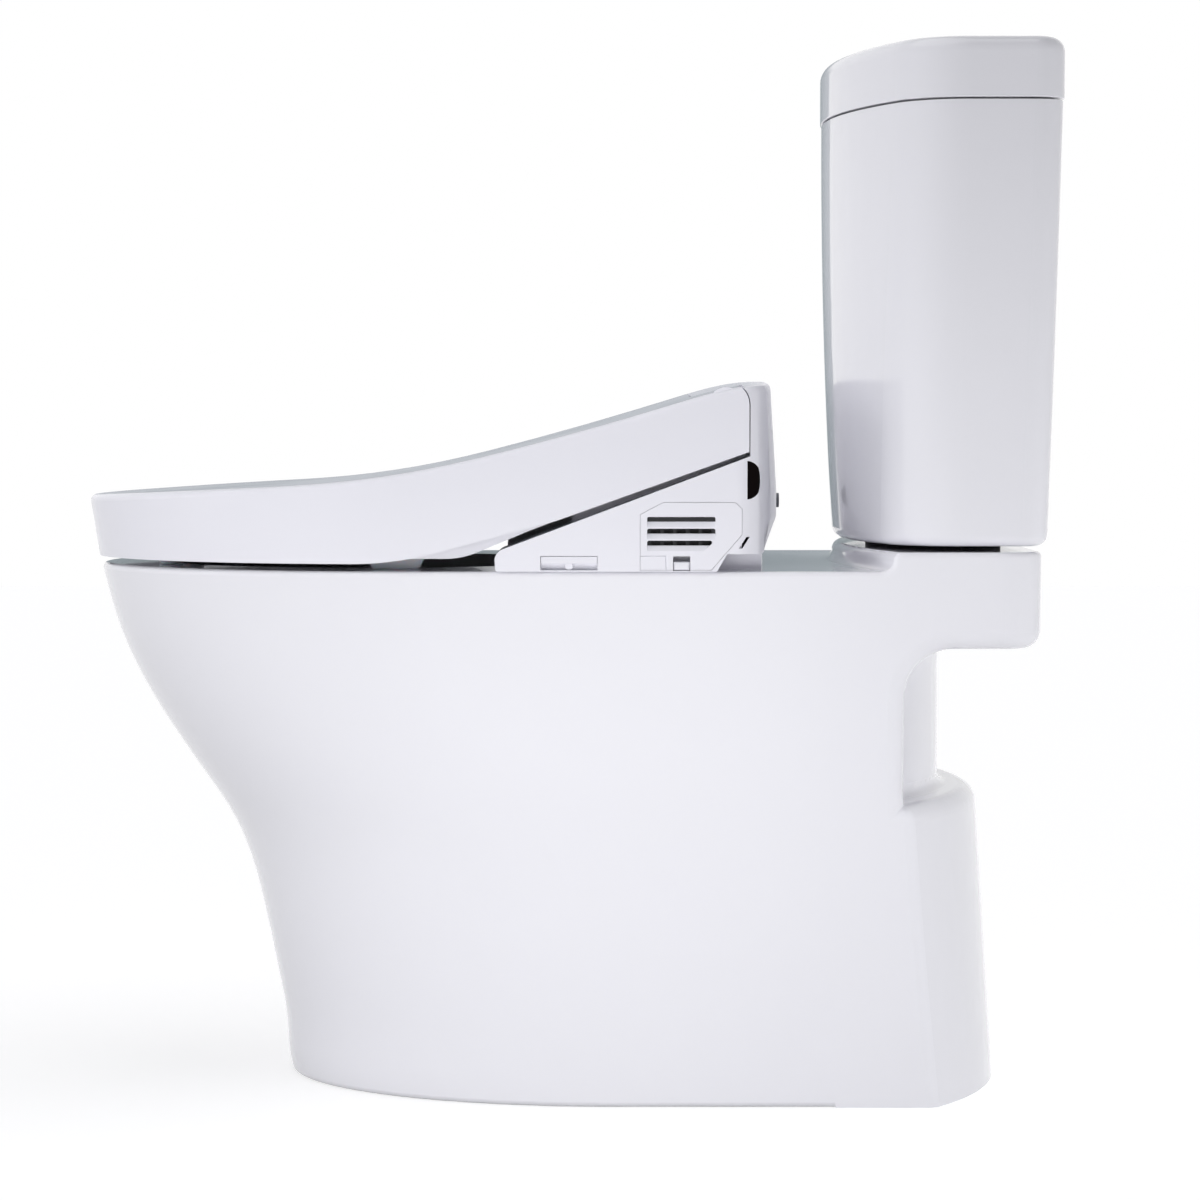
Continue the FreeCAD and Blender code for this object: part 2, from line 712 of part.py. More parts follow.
def bowl():
    outside = bowl_outside()
    body = whole(skirt(outside).fuse(rear_housing(outside)))
    low = PLATFORM_Z - POCKET_ROOF - 1
    bolt = drum(BOLT_R + BOLT_PLAY, TANK_BOLT_X, TANK_BOLT_Y, low, PLATFORM_Z + 1)
    seat = drum(SEAT_BOLT_HOLE, SEAT_BOLT_X, SEAT_BOLT_Y, RIM_Z - DECK - 1, RIM_Z + 1)
    supply = drum(FILL_NUT_R + NUT_ROOM, FILL_X, FILL_Y, low, PLATFORM_Z + 1)
    body = body.cut([bowl_hollow(), basin(0), trapway(TRAP_R, -1)])
    return body.cut([flush_passage(), both(platform_pocket()), both(bolt), both(seat), supply])


# Floor adapter under the bowl

def floor_adapter():
    front = OUTLET_Y - ADAPTER_WIDTH
    rear = OUTLET_Y + ADAPTER_WIDTH
    places = [(-ADAPTER_HALF, front), (ADAPTER_HALF, front), (ADAPTER_HALF, rear), (-ADAPTER_HALF, rear)]
    plate = upright([place + (ADAPTER_CORNER,) for place in places], 0, ADAPTER_PLATE)
    socket = drum(SOCKET_R + SOCKET_WALL, 0, OUTLET_Y, 0, SOCKET_TOP)
    reach = FLANGE_SLOT / 2 - FLANGE_SLOT_R
    slot = box(FLANGE_BOLT - reach, FLANGE_BOLT + reach, OUTLET_Y - FLANGE_SLOT_R, OUTLET_Y + FLANGE_SLOT_R,
               -1, ADAPTER_PLATE + 1)
    for x in (FLANGE_BOLT - reach, FLANGE_BOLT + reach):
        slot = slot.fuse(drum(FLANGE_SLOT_R, x, OUTLET_Y, -1, ADAPTER_PLATE + 1))
    slot = whole(slot)
    body = plate.fuse(socket).cut([drum(TRAP_R, 0, OUTLET_Y, -1, SOCKET_TOP + 1), both(slot)])
    seat = drum(SOCKET_R, 0, OUTLET_Y, OUTLET_Z - 8, SOCKET_TOP + 1)
    screw = drum(SCREW_R, SCREW_X, SCREW_Y, -1, ADAPTER_PLATE + 1)
    return whole(body.cut([seat, both(screw)]))


def outlet_seal():
    return ring(SOCKET_R, TRAP_R + TRAP_WALL, 0, OUTLET_Y, OUTLET_Z + SEAL_SHY, SOCKET_TOP - SEAL_SHY)


def adapter_screw():
    head = drum(2 * SCREW_R, SCREW_X, SCREW_Y, ADAPTER_PLATE, ADAPTER_PLATE + SCREW_HEAD)
    return drum(SCREW_R - RUNNING, SCREW_X, SCREW_Y, 0, ADAPTER_PLATE).fuse(head)


# Tank and its lid

def tank_body(inset, low):
    heights = [low, TANK_LOW + 0.3 * TANK_HEIGHT, TANK_LOW + 0.65 * TANK_HEIGHT, TANK_TOP]
    return Part.makeLoft([tank_wire(z, inset) for z in heights], True)


def tank():
    body = tank_body(0, TANK_LOW)
    body = body.makeFillet(TANK_EDGE, [e for e in body.Edges if level(e, TANK_LOW)])
    inside = tank_body(TANK_WALL, TANK_INSIDE)
    bolt = drum(BOLT_R + BOLT_PLAY, TANK_BOLT_X, TANK_BOLT_Y, TANK_LOW - 1, TANK_INSIDE + 1)
    valve = drum(VALVE_SHANK_R + BOLT_PLAY, 0, INLET_Y, TANK_LOW - 1, TANK_INSIDE + 1)
    fill = drum(FILL_SHANK_R + BOLT_PLAY, FILL_X, FILL_Y, TANK_LOW - 1, TANK_INSIDE + 1)
    return body.cut([inside, both(bolt), valve, fill])


def lid_wire(z, grow):
    return bowed_wire(TANK_HALF_TOP + grow, TANK_FRONT_TOP - grow, TANK_BACK_TOP + grow, TANK_BOW_TOP + grow,
                      TANK_CORNER + grow, max(TANK_BACK_CORNER + grow, INNER_CORNER), z)


def slab(wire, height):
    return Part.Face(wire).extrude(V(0, 0, height))


def tank_lid():
    body = slab(lid_wire(LID_LOW, LID_OVERHANG), LID_HEIGHT)
    body = body.makeFillet(LID_EDGE, [e for e in body.Edges if level(e, LID_TOP)])
    body = body.makeFillet(1.2, [e for e in body.Edges if level(e, LID_LOW)])
    inset = TANK_WALL + TONGUE_PLAY
    inside = slab(lid_wire(LID_LOW - 1, -inset - LID_CHINA), LID_HEIGHT - LID_CHINA + 1)
    hole = drum(BUTTON_R + 2.5, 0, INLET_Y, LID_LOW, LID_TOP + 1)
    tongue = slab(lid_wire(LID_LOW - LID_TONGUE, -inset), LID_TONGUE)
    tongue = tongue.cut(slab(lid_wire(LID_LOW - LID_TONGUE, -inset - LID_CHINA), LID_TONGUE))
    return body.cut([inside, hole]).fuse(tongue)


# Tank bolts and gasket

def tank_bolt():
    head_z = TANK_INSIDE + WASHER
    low = PLATFORM_Z - POCKET_ROOF - NUT - 6
    head = drum(BOLT_HEAD_R, TANK_BOLT_X, TANK_BOLT_Y, head_z, head_z + BOLT_HEAD)
    head = head.cut(box(TANK_BOLT_X - 12, TANK_BOLT_X + 12, TANK_BOLT_Y - 1, TANK_BOLT_Y + 1,
                        head_z + BOLT_HEAD - 2.5, head_z + BOLT_HEAD + 1))
    return drum(BOLT_R, TANK_BOLT_X, TANK_BOLT_Y, low, head_z).fuse(head)


def tank_bolt_washer():
    return ring(WASHER_R, BOLT_R, TANK_BOLT_X, TANK_BOLT_Y, TANK_INSIDE, TANK_INSIDE + WASHER)


def tank_spacer():
    return ring(WASHER_R, BOLT_R, TANK_BOLT_X, TANK_BOLT_Y, PLATFORM_Z, TANK_LOW)


def tank_bolt_nut():
    top = PLATFORM_Z - POCKET_ROOF
    plate = drum(WASHER_R - 2, TANK_BOLT_X, TANK_BOLT_Y, top - 2, top)
    nut = hexagon(NUT_R, TANK_BOLT_X, TANK_BOLT_Y, top - 2 - NUT, top - 2)
    return plate.fuse(nut).cut(drum(BOLT_R, TANK_BOLT_X, TANK_BOLT_Y, top - NUT - 3, top + 1))


def tank_gasket():
    low = PLATFORM_Z - RECESS_DEPTH
    return ring(RECESS_R - 0.5, VALVE_LOCKNUT_R + 1, 0, INLET_Y, low, TANK_LOW)


# Flush valve

def valve_body():
    base = TANK_INSIDE
    shank = drum(VALVE_SHANK_R, 0, INLET_Y, PLATFORM_Z - RECESS_DEPTH - 6, base)
    flange = drum(VALVE_FLANGE_R, 0, INLET_Y, base, base + VALVE_FLANGE)
    seat = drum(VALVE_BORE_R + 6, 0, INLET_Y, base + VALVE_FLANGE, base + VALVE_FLANGE + VALVE_SEAT)
    bore = drum(VALVE_BORE_R, 0, INLET_Y, base - 60, base + 60)
    body = shank.fuse([flange, seat]).cut(bore)
    spokes = []
    for turn in range(3):
        spoke = box(-VALVE_BORE_R - 2, 0, INLET_Y - 2, INLET_Y + 2, base - 8, base)
        spoke.rotate(V(0, INLET_Y, 0), V(0, 0, 1), 30 + 120 * turn)
        spokes.append(spoke)
    guide = drum(GUIDE_R, 0, INLET_Y, base - 8, base + LEVER_Z - 40)
    posts = []
    for side in (-1, 1):
        post = drum(POST_R, 0, INLET_Y + side * POST_Y, base, base + LEVER_Z + 8)
        posts.append(post)
    axle = rod(AXLE_R, V(0, INLET_Y - POST_Y, base + LEVER_Z), V(0, INLET_Y + POST_Y, base + LEVER_Z))
    return whole(body.fuse(spokes + [guide, axle] + posts))


def valve_locknut():
    nut = drum(VALVE_LOCKNUT_R, 0, INLET_Y, TANK_LOW - VALVE_LOCKNUT, TANK_LOW)
    return nut.cut(drum(VALVE_SHANK_R, 0, INLET_Y, TANK_LOW - 40, TANK_LOW + 1))


def canister():
    low = TANK_INSIDE + VALVE_FLANGE + VALVE_SEAT + SEAM + SEAL
    top = low + CANISTER_HEIGHT
    tube = ring(CANISTER_R, CANISTER_R - CANISTER_WALL, 0, INLET_Y, low, top)
    foot = drum(CANISTER_R, 0, INLET_Y, low, low + 4).cut(drum(CANISTER_R - 8, 0, INLET_Y, low, low + 4))
    pieces = [foot]
    for z in (low, low + 0.8 * CANISTER_HEIGHT):
        hub = drum(GUIDE_R + 3, 0, INLET_Y, z, z + 16)
        pieces.append(hub)
        for turn in range(3):
            rib = box(0, CANISTER_R - 1, INLET_Y - 1.5, INLET_Y + 1.5, z, z + 16)
            rib.rotate(V(0, INLET_Y, 0), V(0, 0, 1), 90 + 120 * turn)
            pieces.append(rib)
    pin_z = TANK_INSIDE + LEVER_Z + LEVER_HALF + AXLE_R + 0.5
    chord = math.sqrt((CANISTER_R - 1) ** 2 - (LIFT_ARM + 3) ** 2)
    pieces.append(box(-LIFT_ARM - 3, -LIFT_ARM + 3, INLET_Y - chord, INLET_Y + chord, top - 8, top))
    for side in (-1, 1):
        y = INLET_Y + side * 9.0
        pieces.append(box(-LIFT_ARM - 3, -LIFT_ARM + 3, y - 1.5, y + 1.5, top - 8, pin_z + 5))
    pieces.append(rod(AXLE_R, V(-LIFT_ARM, INLET_Y - 9, pin_z), V(-LIFT_ARM, INLET_Y + 9, pin_z)))
    return whole(tube.fuse(pieces).cut(drum(GUIDE_R + RUNNING, 0, INLET_Y, low - 1, top + 1)))


def canister_seal():
    low = TANK_INSIDE + VALVE_FLANGE + VALVE_SEAT + SEAM
    return ring(CANISTER_R, VALVE_BORE_R + 1, 0, INLET_Y, low, low + SEAL)


def lift_lever():
    z = TANK_INSIDE + LEVER_Z
    bar = box(-LIFT_ARM - 5, PRESS_ARM + 5, INLET_Y - 5, INLET_Y + 5, z - LEVER_HALF, z + LEVER_HALF)
    hub = rod(7.0, V(0, INLET_Y - 12, z), V(0, INLET_Y + 12, z))
    bore = rod(AXLE_R + RUNNING, V(0, INLET_Y - 20, z), V(0, INLET_Y + 20, z))
    return whole(bar.fuse(hub).cut(bore))


# Fill valve

def fill_body():
    base = TANK_INSIDE
    neck = TANK_LOW - FILL_NUT - 2
    shank = drum(FILL_SHANK_R, FILL_X, FILL_Y, neck, base)
    tail = drum(FILL_TAIL_R, FILL_X, FILL_Y, neck - FILL_TAIL, neck)
    flange = drum(FILL_HEAD_R, FILL_X, FILL_Y, base, base + FILL_FLANGE)
    riser = drum(FILL_RISER_R, FILL_X, FILL_Y, base, base + FILL_RISER)
    top = base + FILL_RISER + FILL_HEAD
    head = drum(FILL_HEAD_R, FILL_X, FILL_Y, base + FILL_RISER, top)
    head = head.makeFillet(4.0, [e for e in head.Edges if level(e, top)])
    start = V(FILL_X, FILL_Y, base + FILL_RISER + SPOUT_RISE)
    spout = rod(HOSE_R - HOSE_WALL, start, start + V(FILL_HEAD_R + 14, 0, 0))
    water = drum(FILL_BORE_R, FILL_X, FILL_Y, neck - FILL_TAIL - 1, base + FILL_RISER)
    return whole(shank.fuse([tail, flange, riser, head, spout]).cut(water))


def fill_locknut():
    nut = hexagon(FILL_NUT_R, FILL_X, FILL_Y, TANK_LOW - FILL_NUT, TANK_LOW)
    return nut.cut(drum(FILL_SHANK_R, FILL_X, FILL_Y, TANK_LOW - FILL_NUT - 1, TANK_LOW + 1))


def fill_float():
    low = TANK_INSIDE + FLOAT_Z
    cup = ring(FLOAT_R, FILL_RISER_R + RUNNING + 0.5, FILL_X, FILL_Y, low, low + FLOAT_HEIGHT)
    rims = [e for e in cup.Edges if level(e, low) or level(e, low + FLOAT_HEIGHT)]
    cup = cup.makeFillet(4.0, [e for e in rims if e.BoundBox.XLength > 2 * FLOAT_R - 1])
    hollow = ring(FLOAT_R - 2, FILL_RISER_R + 3, FILL_X, FILL_Y, low - 1, low + FLOAT_HEIGHT - 4)
    return cup.cut(hollow)


def bent(points, radius):
    # open path of straight runs joined by arcs
    edges = []
    start = points[0]
    for i in range(1, len(points) - 1):
        back = points[i - 1] - points[i]
        on = points[i + 1] - points[i]
        back.normalize()
        on.normalize()
        half = back.getAngle(on) / 2
        reach = radius / math.tan(half)
        middle = back + on
        middle.normalize()
        first = points[i] + back * reach
        last = points[i] + on * reach
        edges.append(Part.makeLine(start, first))
        edges.append(Part.Arc(first, points[i] + middle * (radius / math.sin(half) - radius), last).toShape())
        start = last
    edges.append(Part.makeLine(start, points[-1]))
    return Part.Wire(edges)


def refill_hose():
    spout = V(FILL_X + FILL_HEAD_R + 2, FILL_Y, TANK_INSIDE + FILL_RISER + SPOUT_RISE)
    top = TANK_INSIDE + VALVE_FLANGE + VALVE_SEAT + CANISTER_HEIGHT + HOSE_CLEAR
    away = INLET_Y - HOSE_ASIDE
    points = [spout, V(spout.x + 34, FILL_Y, spout.z), V(spout.x + 34, away, top + 14), V(14, away, top + 14),
              V(14, away + 8, top - 10)]
    spine = bent(points, HOSE_BEND)
    way = points[1] - points[0]
    outer = spine.makePipeShell([Part.Wire(Part.makeCircle(HOSE_R, spout, way))], True, True)
    inner = spine.makePipeShell([Part.Wire(Part.makeCircle(HOSE_R - HOSE_WALL, spout, way))], True, True)
    return outer.cut(inner)


# Flush buttons in the tank lid

def bezel():
    top = LID_TOP + BEZEL_FLANGE
    low = LID_TOP - LID_CHINA - 6
    flange = ring(BEZEL_R, BUTTON_R, 0, INLET_Y, LID_TOP, top)
    rims = [e for e in flange.Edges if level(e, top)]
    flange = flange.makeFillet(1.2, [e for e in rims if e.BoundBox.XLength > 2 * BEZEL_R - 1])
    sleeve = ring(BUTTON_R + 2, BUTTON_R, 0, INLET_Y, low, top - 1)
    floor = drum(BUTTON_R + 2, 0, INLET_Y, low - 2, low)
    guides = []
    for x in (PRESS_ARM, SPLIT_X - 8):
        guides.append(drum(ROD_R + ROD_PLAY, x, INLET_Y, low - 3, low + 1))
    return whole(flange.fuse([sleeve, floor])).cut(guides)


def button(large):
    top = LID_TOP + BEZEL_FLANGE + BUTTON_PROUD
    disc = drum(BUTTON_R - BUTTON_PLAY, 0, INLET_Y, top - BUTTON_HEIGHT, top)
    disc = disc.makeFillet(1.5, [e for e in disc.Edges if level(e, top)])
    reach = BUTTON_R + 1
    gap = BUTTON_PLAY / 2
    if large:
        half = box(SPLIT_X + gap, reach, INLET_Y - reach, INLET_Y + reach, top - 20, top + 1)
        x = PRESS_ARM
        tip = TANK_INSIDE + LEVER_Z + LEVER_HALF + 0.5 + ROD_R
    else:
        half = box(-reach, SPLIT_X - gap, INLET_Y - reach, INLET_Y + reach, top - 20, top + 1)
        x = SPLIT_X - 8
        tip = TANK_TOP - 14
    stem = drum(ROD_R, x, INLET_Y, tip, top - 3)
    return whole(disc.common(half).fuse([stem, Part.makeSphere(ROD_R, V(x, INLET_Y, tip))]))


# Bidet seat: shared forms

def under_top(drop):
    # everything below the crowned top of the cover and the unit
    side = UNIT_HALF + 40
    grid = []
    for y, height, fall in TOP_CURVE:
        row = []
        for x in (-side, -side / 2, 0, side / 2, side):
            row.append(V(x, y, RIM_Z + height - drop - fall * (x / UNIT_HALF) ** 2))
        grid.append(row)
    skin = Part.BSplineSurface()
    skin.interpolate(grid)
    return skin.toShape().extrude(V(0, 0, -2 * HINGE_Z - 40))


def slope_z(y):
    # top of the unit's sloped shoulders
    start = RIM_Z + HORN_RISE
    return start + (SLOPE_RISE - HORN_RISE) * (y - HORN_TIP) / (SLOPE_END - HORN_TIP)


def hinge_rod(radius, x0, x1):
    return rod(radius, V(x0, HINGE.y, HINGE.z), V(x1, HINGE.y, HINGE.z))


# Bidet seat: cover

def cover_plan(inset):
    lean = math.tan(math.radians(COVER_FLARE))
    wires = []
    for z in (RIM_Z - 20, ABOVE):
        tip = COVER_TIP - lean * (z - RIM_Z) + inset
        wires.append(nose_wire(COVER_HALF - inset, tip, COVER_TIP + COVER_NOSE, COVER_REAR + 40, z))
    return Part.makeLoft(wires, True, True)


def cover_side(drop):
    # cover seen from the side, above its lower edge
    edge = RIM_Z + COVER_EDGE_Z - drop
    rear = slope_z(COVER_REAR) + COVER_LIFT_REAR - drop
    start = slope_z(0) + COVER_LIFT - drop
    return across([(-420, edge), (-120, edge, 240), (0, start, 60), (COVER_REAR, rear), (COVER_REAR, ABOVE),
                   (-420, ABOVE)], -COVER_HALF - 20, COVER_HALF + 20)


def cover_end(radius):
    # what lies outside the rounded rear end above the hinge
    wide = COVER_HALF + 20
    block = box(-wide, wide, HINGE.y, HINGE.y + 80, HINGE.z, HINGE.z + 80)
    return block.cut(hinge_rod(radius, -wide, wide))


def cover():
    outer = cover_plan(0).common(cover_side(0)).common(under_top(0))
    outer = outer.cut(cover_end(COVER_END_R)).Solids[0]
    top = max(outer.Faces, key=lambda face: face.Area)
    outer = outer.makeFillet(COVER_ROUND, [e for e in top.Edges if e.CenterOfMass.y < HINGE.y / 2])
    inner = cover_plan(COVER_WALL).common(under_top(COVER_WALL)).cut(cover_end(COVER_END_R - COVER_WALL))
    inner = inner.common(box(-COVER_HALF, COVER_HALF, -420, COVER_REAR + 1, RIM_Z - 30, ABOVE))
    shell = outer.cut(inner)
    middle = BLOCK_X + SEAM_WIDE
    gap = box(-middle, middle, HINGE.y, COVER_REAR + 20, RIM_Z, ABOVE)
    shell = shell.cut([gap, hinge_rod(BARREL_R + SEAM_WIDE, -middle, middle)])
    boss = hinge_rod(COVER_END_R - 4, COVER_BOSS_IN, COVER_HALF - COVER_WALL + 0.5)
    bore = hinge_rod(SHAFT_R + RUNNING, COVER_BOSS_IN - 1, COVER_HALF - COVER_WALL - 1)
    return whole(shell.fuse(both(boss))).cut(both(bore))


def cover_pads():
    pads = []
    top = RIM_Z + SEAT_LOW + SEAT_THICK + SEAM
    for x, y in ((PAD_FRONT_X, PAD_FRONT_Y), (PAD_X, PAD_Y)):
        pads.append(drum(6.0, x, y, top, RIM_Z + HINGE_Z).common(under_top(COVER_WALL)))
    return Part.makeCompound([piece for pad in pads for piece in (pad, mirrored(pad))])


# Bidet seat: unit

def shrunk(corners, inset):
    wire = outline(corners, xy(0))
    if inset:
        wire = Part.Face(wire).makeOffset2D(-inset, 2).OuterWire
    wire.rotate(V(0, 0, 0), V(1, 1, 1), 120)
    return Part.Face(wire)


def prism(corners, inset, x0, x1):
    face = shrunk(corners, inset)
    face.translate(V(x0 + inset, 0, 0))
    return face.extrude(V(x1 - x0 - 2 * inset, 0, 0))


def unit_solid(inset):
    deep = SLOPE_END + TOWER_REACH
    low = RIM_Z + UNDERCUT
    head = HINGE.z + BARREL_R - 6
    horn = prism([(HORN_TIP + 1, RIM_Z, 2), (HORN_TIP, RIM_Z + HORN_RISE, 9), (SLOPE_END, RIM_Z + SLOPE_RISE),
                  (deep, RIM_Z + SLOPE_RISE), (deep, low), (UNDERCUT_Y + UNDERCUT_RUN, low),
                  (UNDERCUT_Y, RIM_Z)], inset, HORN_IN, UNIT_HALF)
    tower = prism([(TOWER_FRONT, ABOVE), (TOWER_FRONT, HINGE.z + 6), (SLOPE_END, HINGE.z), (SLOPE_END, low),
                   (UNIT_BACK - 10, low, 4), (UNIT_BACK, low + 25, 12), (UNIT_BACK, RIM_Z + 58, 60),
                   (UNIT_BACK - 8, ABOVE)], inset, -UNIT_HALF, UNIT_HALF)
    middle = prism([(FRONT_Y, RIM_Z, 2), (FRONT_Y + 3, RIM_Z + FRONT_RISE, 14),
                    (HINGE.y - BARREL_R + 1.5, HINGE.z), (HINGE.y, head), (deep, head), (deep, RIM_Z)],
                   inset, -BLOCK_X, BLOCK_X)
    barrel = hinge_rod(BARREL_R - inset, -BLOCK_X + inset, BLOCK_X - inset)
    plan = upright([(-UNIT_HALF + inset, HORN_TIP - 5, 0), (UNIT_HALF - inset, HORN_TIP - 5, 0),
                    (UNIT_HALF - inset, UNIT_BACK + 1 - inset, UNIT_CORNER - inset),
                    (-UNIT_HALF + inset, UNIT_BACK + 1 - inset, UNIT_CORNER - inset)], RIM_Z - 1, ABOVE)
    top = under_top(inset)
    tower = tower.common(plan).common(top).Solids[0]
    if inset == 0:
        rear = [e for e in tower.Edges if e.BoundBox.ZMin > HINGE.z and e.CenterOfMass.y > TOWER_FRONT + 5]
        tower = tower.makeFillet(UNIT_ROUND, [e for e in rear if e.BoundBox.ZLength < 8])
    tower = tower.cut(both(hinge_rod(COVER_END_R + END_GAP + inset, BLOCK_X - inset, UNIT_HALF + 1)))
    return tower.fuse([both(horn.common(plan)), middle.fuse(barrel).common(top)])


def plate_pocket(grow):
    half = PLATE_HALF + PLATE_PLAY + grow
    return box(-half, half, PLATE_FRONT - PLATE_PLAY - grow, PLATE_REAR + PLATE_PLAY + grow,
               RIM_Z - 1, RIM_Z + PLATE + PLATE_PLAY + grow)


def filter_panel(gap, proud):
    top = RIM_Z + FILTER_TOP
    low = RIM_Z + SILL
    face = shrunk([(FILTER_FRONT, low), (FILTER_FRONT, top - 9), (FILTER_FRONT + 17, top),
                   (FILTER_REAR - 5, top), (FILTER_REAR, top - 5), (FILTER_REAR, low + 2 * UNDERCUT),
                   (UNDERCUT_Y - 4, low)], gap)
    face.translate(V(UNIT_HALF - FILTER_PANEL, 0, 0))
    return face.extrude(V(FILTER_PANEL + proud, 0, 0))


def filter_bay():
    bay = box(UNIT_HALF - FILTER_DEPTH, UNIT_HALF, BAY_FRONT, BAY_REAR, RIM_Z + BAY_LOW, RIM_Z + BAY_TOP)
    return filter_panel(0, 1).fuse(bay)


def filter_bay_keep():
    return box(UNIT_HALF - FILTER_DEPTH - UNIT_WALL, UNIT_HALF, FILTER_FRONT - UNIT_WALL, FILTER_REAR,
               RIM_Z, RIM_Z + FILTER_TOP + UNIT_WALL)


def release_slot():
    half = RELEASE_WIDTH / 2 + RELEASE_PLAY
    low = RIM_Z + SILL - RELEASE_PLAY
    return box(UNIT_HALF - RELEASE_DEPTH, UNIT_HALF + 1, RELEASE_Y - half, RELEASE_Y + half,
               low, low + RELEASE_NOTCH)


def vent_slot():
    low = RIM_Z + VENT_LOW
    top = low + VENT_HEIGHT
    return across([(VENT_Y, low), (VENT_Y + VENT_LEAN, top), (VENT_Y + VENT_LEAN + VENT_WIDTH, top),
                   (VENT_Y + VENT_WIDTH, low)], UNIT_HALF - 2 * UNIT_WALL, UNIT_HALF + 1)


def port_recess():
    low = RIM_Z + SILL
    return box(UNIT_HALF - PORT_DEPTH, UNIT_HALF + 1, PORT_FRONT, PORT_REAR, low, low + PORT_HEIGHT)


def lens_prism():
    mid = V(UNIT_HALF - 14, LENS_Y, RIM_Z + LENS_LOW + LENS_HEIGHT / 2)
    curve = Part.Ellipse(mid + V(0, 0, LENS_HEIGHT / 2), mid + V(0, LENS_WIDTH, 0), mid)
    arc = Part.ArcOfEllipse(curve, 0, math.pi).toShape()
    ends = [v.Point for v in arc.Vertexes]
    return Part.Face(Part.Wire([arc, Part.makeLine(ends[1], ends[0])])).extrude(V(20, 0, 0))


def wand_place(c):
    tilt = math.radians(WAND_TILT)
    return V(0, FRONT_Y + c * math.cos(tilt), RIM_Z + WAND_Z + c * math.sin(tilt))


def unit_shell():
    port_keep = box(UNIT_HALF - PORT_DEPTH - UNIT_WALL, UNIT_HALF, PORT_FRONT - UNIT_WALL,
                    PORT_REAR + UNIT_WALL, RIM_Z, RIM_Z + SILL + PORT_HEIGHT + UNIT_WALL)
    inner = unit_solid(UNIT_WALL).cut([plate_pocket(UNIT_WALL), filter_bay_keep(), port_keep])
    front = FRONT_Y - UNIT_WALL
    rear = FRONT_Y + 3 * UNIT_WALL
    window = box(-WINDOW_HALF, WINDOW_HALF, front, rear, RIM_Z + WINDOW_LOW, RIM_Z + WINDOW_TOP)
    flap = box(FLAP_X - FLAP_HALF, FLAP_X + FLAP_HALF, front, rear, RIM_Z + FLAP_LOW, RIM_Z + FLAP_TOP)
    shafts = both(hinge_rod(SHAFT_R, BLOCK_X - 12, BLOCK_X + 1))
    inlet = inlet_rod(INLET_NECK_R + GLAND_PLAY, -1, UNIT_WALL + 1)
    cord = cord_rod(GLAND_R + GLAND_PLAY, -20, 5)
    return unit_solid(0).cut([inner, plate_pocket(0), filter_bay(), release_slot(), vent_slot(),
                              port_recess(), lens_prism(), window, flap, shafts, inlet, cord])


def unit_half(low, high):
    wide = 2 * UNIT_HALF
    return unit_shell().common(box(-wide, wide, -wide, wide, low, high))


def lower_case():
    return unit_half(RIM_Z - 1, RIM_Z + SPLIT_RISE)


def upper_cover():
    return unit_half(RIM_Z + SPLIT_RISE, ABOVE)


def sensor_lens():
    return lens_prism().common(unit_solid(0)).cut(unit_solid(2 * UNIT_WALL))


def louvre(row):
    # slot over a blade that slants up into the unit
    top = RIM_Z + LOUVRE_TOP - row * LOUVRE_PITCH
    low = top - LOUVRE_HEIGHT
    x0 = UNIT_HALF - FILTER_PANEL
    x1 = UNIT_HALF
    section = [V(x0 - 1, LOUVRE_START, top - LOUVRE_OPEN), V(x0, LOUVRE_START, top - LOUVRE_OPEN),
               V(x1, LOUVRE_START, low), V(x1 + 1, LOUVRE_START, low), V(x1 + 1, LOUVRE_START, top),
               V(x0 - 1, LOUVRE_START, top)]
    slot = Part.Face(Part.makePolygon(section + section[:1])).extrude(V(0, LOUVRE_LENGTH, 0))
    end = LOUVRE_START + LOUVRE_LENGTH
    slant = LOUVRE_SLANT if row == LOUVRES - 1 else 0
    shape = [(LOUVRE_START, low), (LOUVRE_START, top, 1.5), (end, top, 1.5), (end - slant, low)]
    return slot.common(across(shape, x0 - 1, x1 + 1))


def tab_groove():
    # fine line round the pull tab at the lower front corner
    low = RIM_Z + SILL - RELEASE_PLAY
    rear = FILTER_FRONT + TAB_WIDTH
    top = low + RELEASE_NOTCH
    x0 = UNIT_HALF - TAB_DEPTH
    tab = box(x0, UNIT_HALF + 1, FILTER_FRONT, rear, low, top)
    return box(x0, UNIT_HALF + 1, FILTER_FRONT, rear + TAB_GROOVE, low, top + TAB_GROOVE).cut(tab)


def filter_cover():
    slots = [louvre(row) for row in range(LOUVRES)]
    return filter_panel(FILTER_GAP, 0).cut(slots + [release_slot(), tab_groove()])


def filter_cartridge():
    x1 = UNIT_HALF - FILTER_PANEL
    low = RIM_Z + BAY_LOW + BAY_PLAY
    top = RIM_Z + BAY_TOP - BAY_PLAY
    frame = box(UNIT_HALF - FILTER_DEPTH + BAY_PLAY, x1, BAY_FRONT + BAY_PLAY, BAY_REAR - BAY_PLAY, low, top)
    cells = []
    for i in range(CELLS):
        y = BAY_FRONT + 3 + i * CELL_PITCH
        cells.append(box(x1 - CELL_DEPTH, x1 + 1, y, y + CELL, low + 3, top - 3))
    return frame.cut(cells)


def release_button():
    half = RELEASE_WIDTH / 2
    low = RIM_Z + SILL
    x1 = UNIT_HALF - RELEASE_SHY
    body = box(x1 - RELEASE_LENGTH, x1, RELEASE_Y - half, RELEASE_Y + half, low, low + RELEASE_HEIGHT)
    return body.makeChamfer(1.0, [e for e in body.Edges if e.BoundBox.XMin > x1 - 0.5])


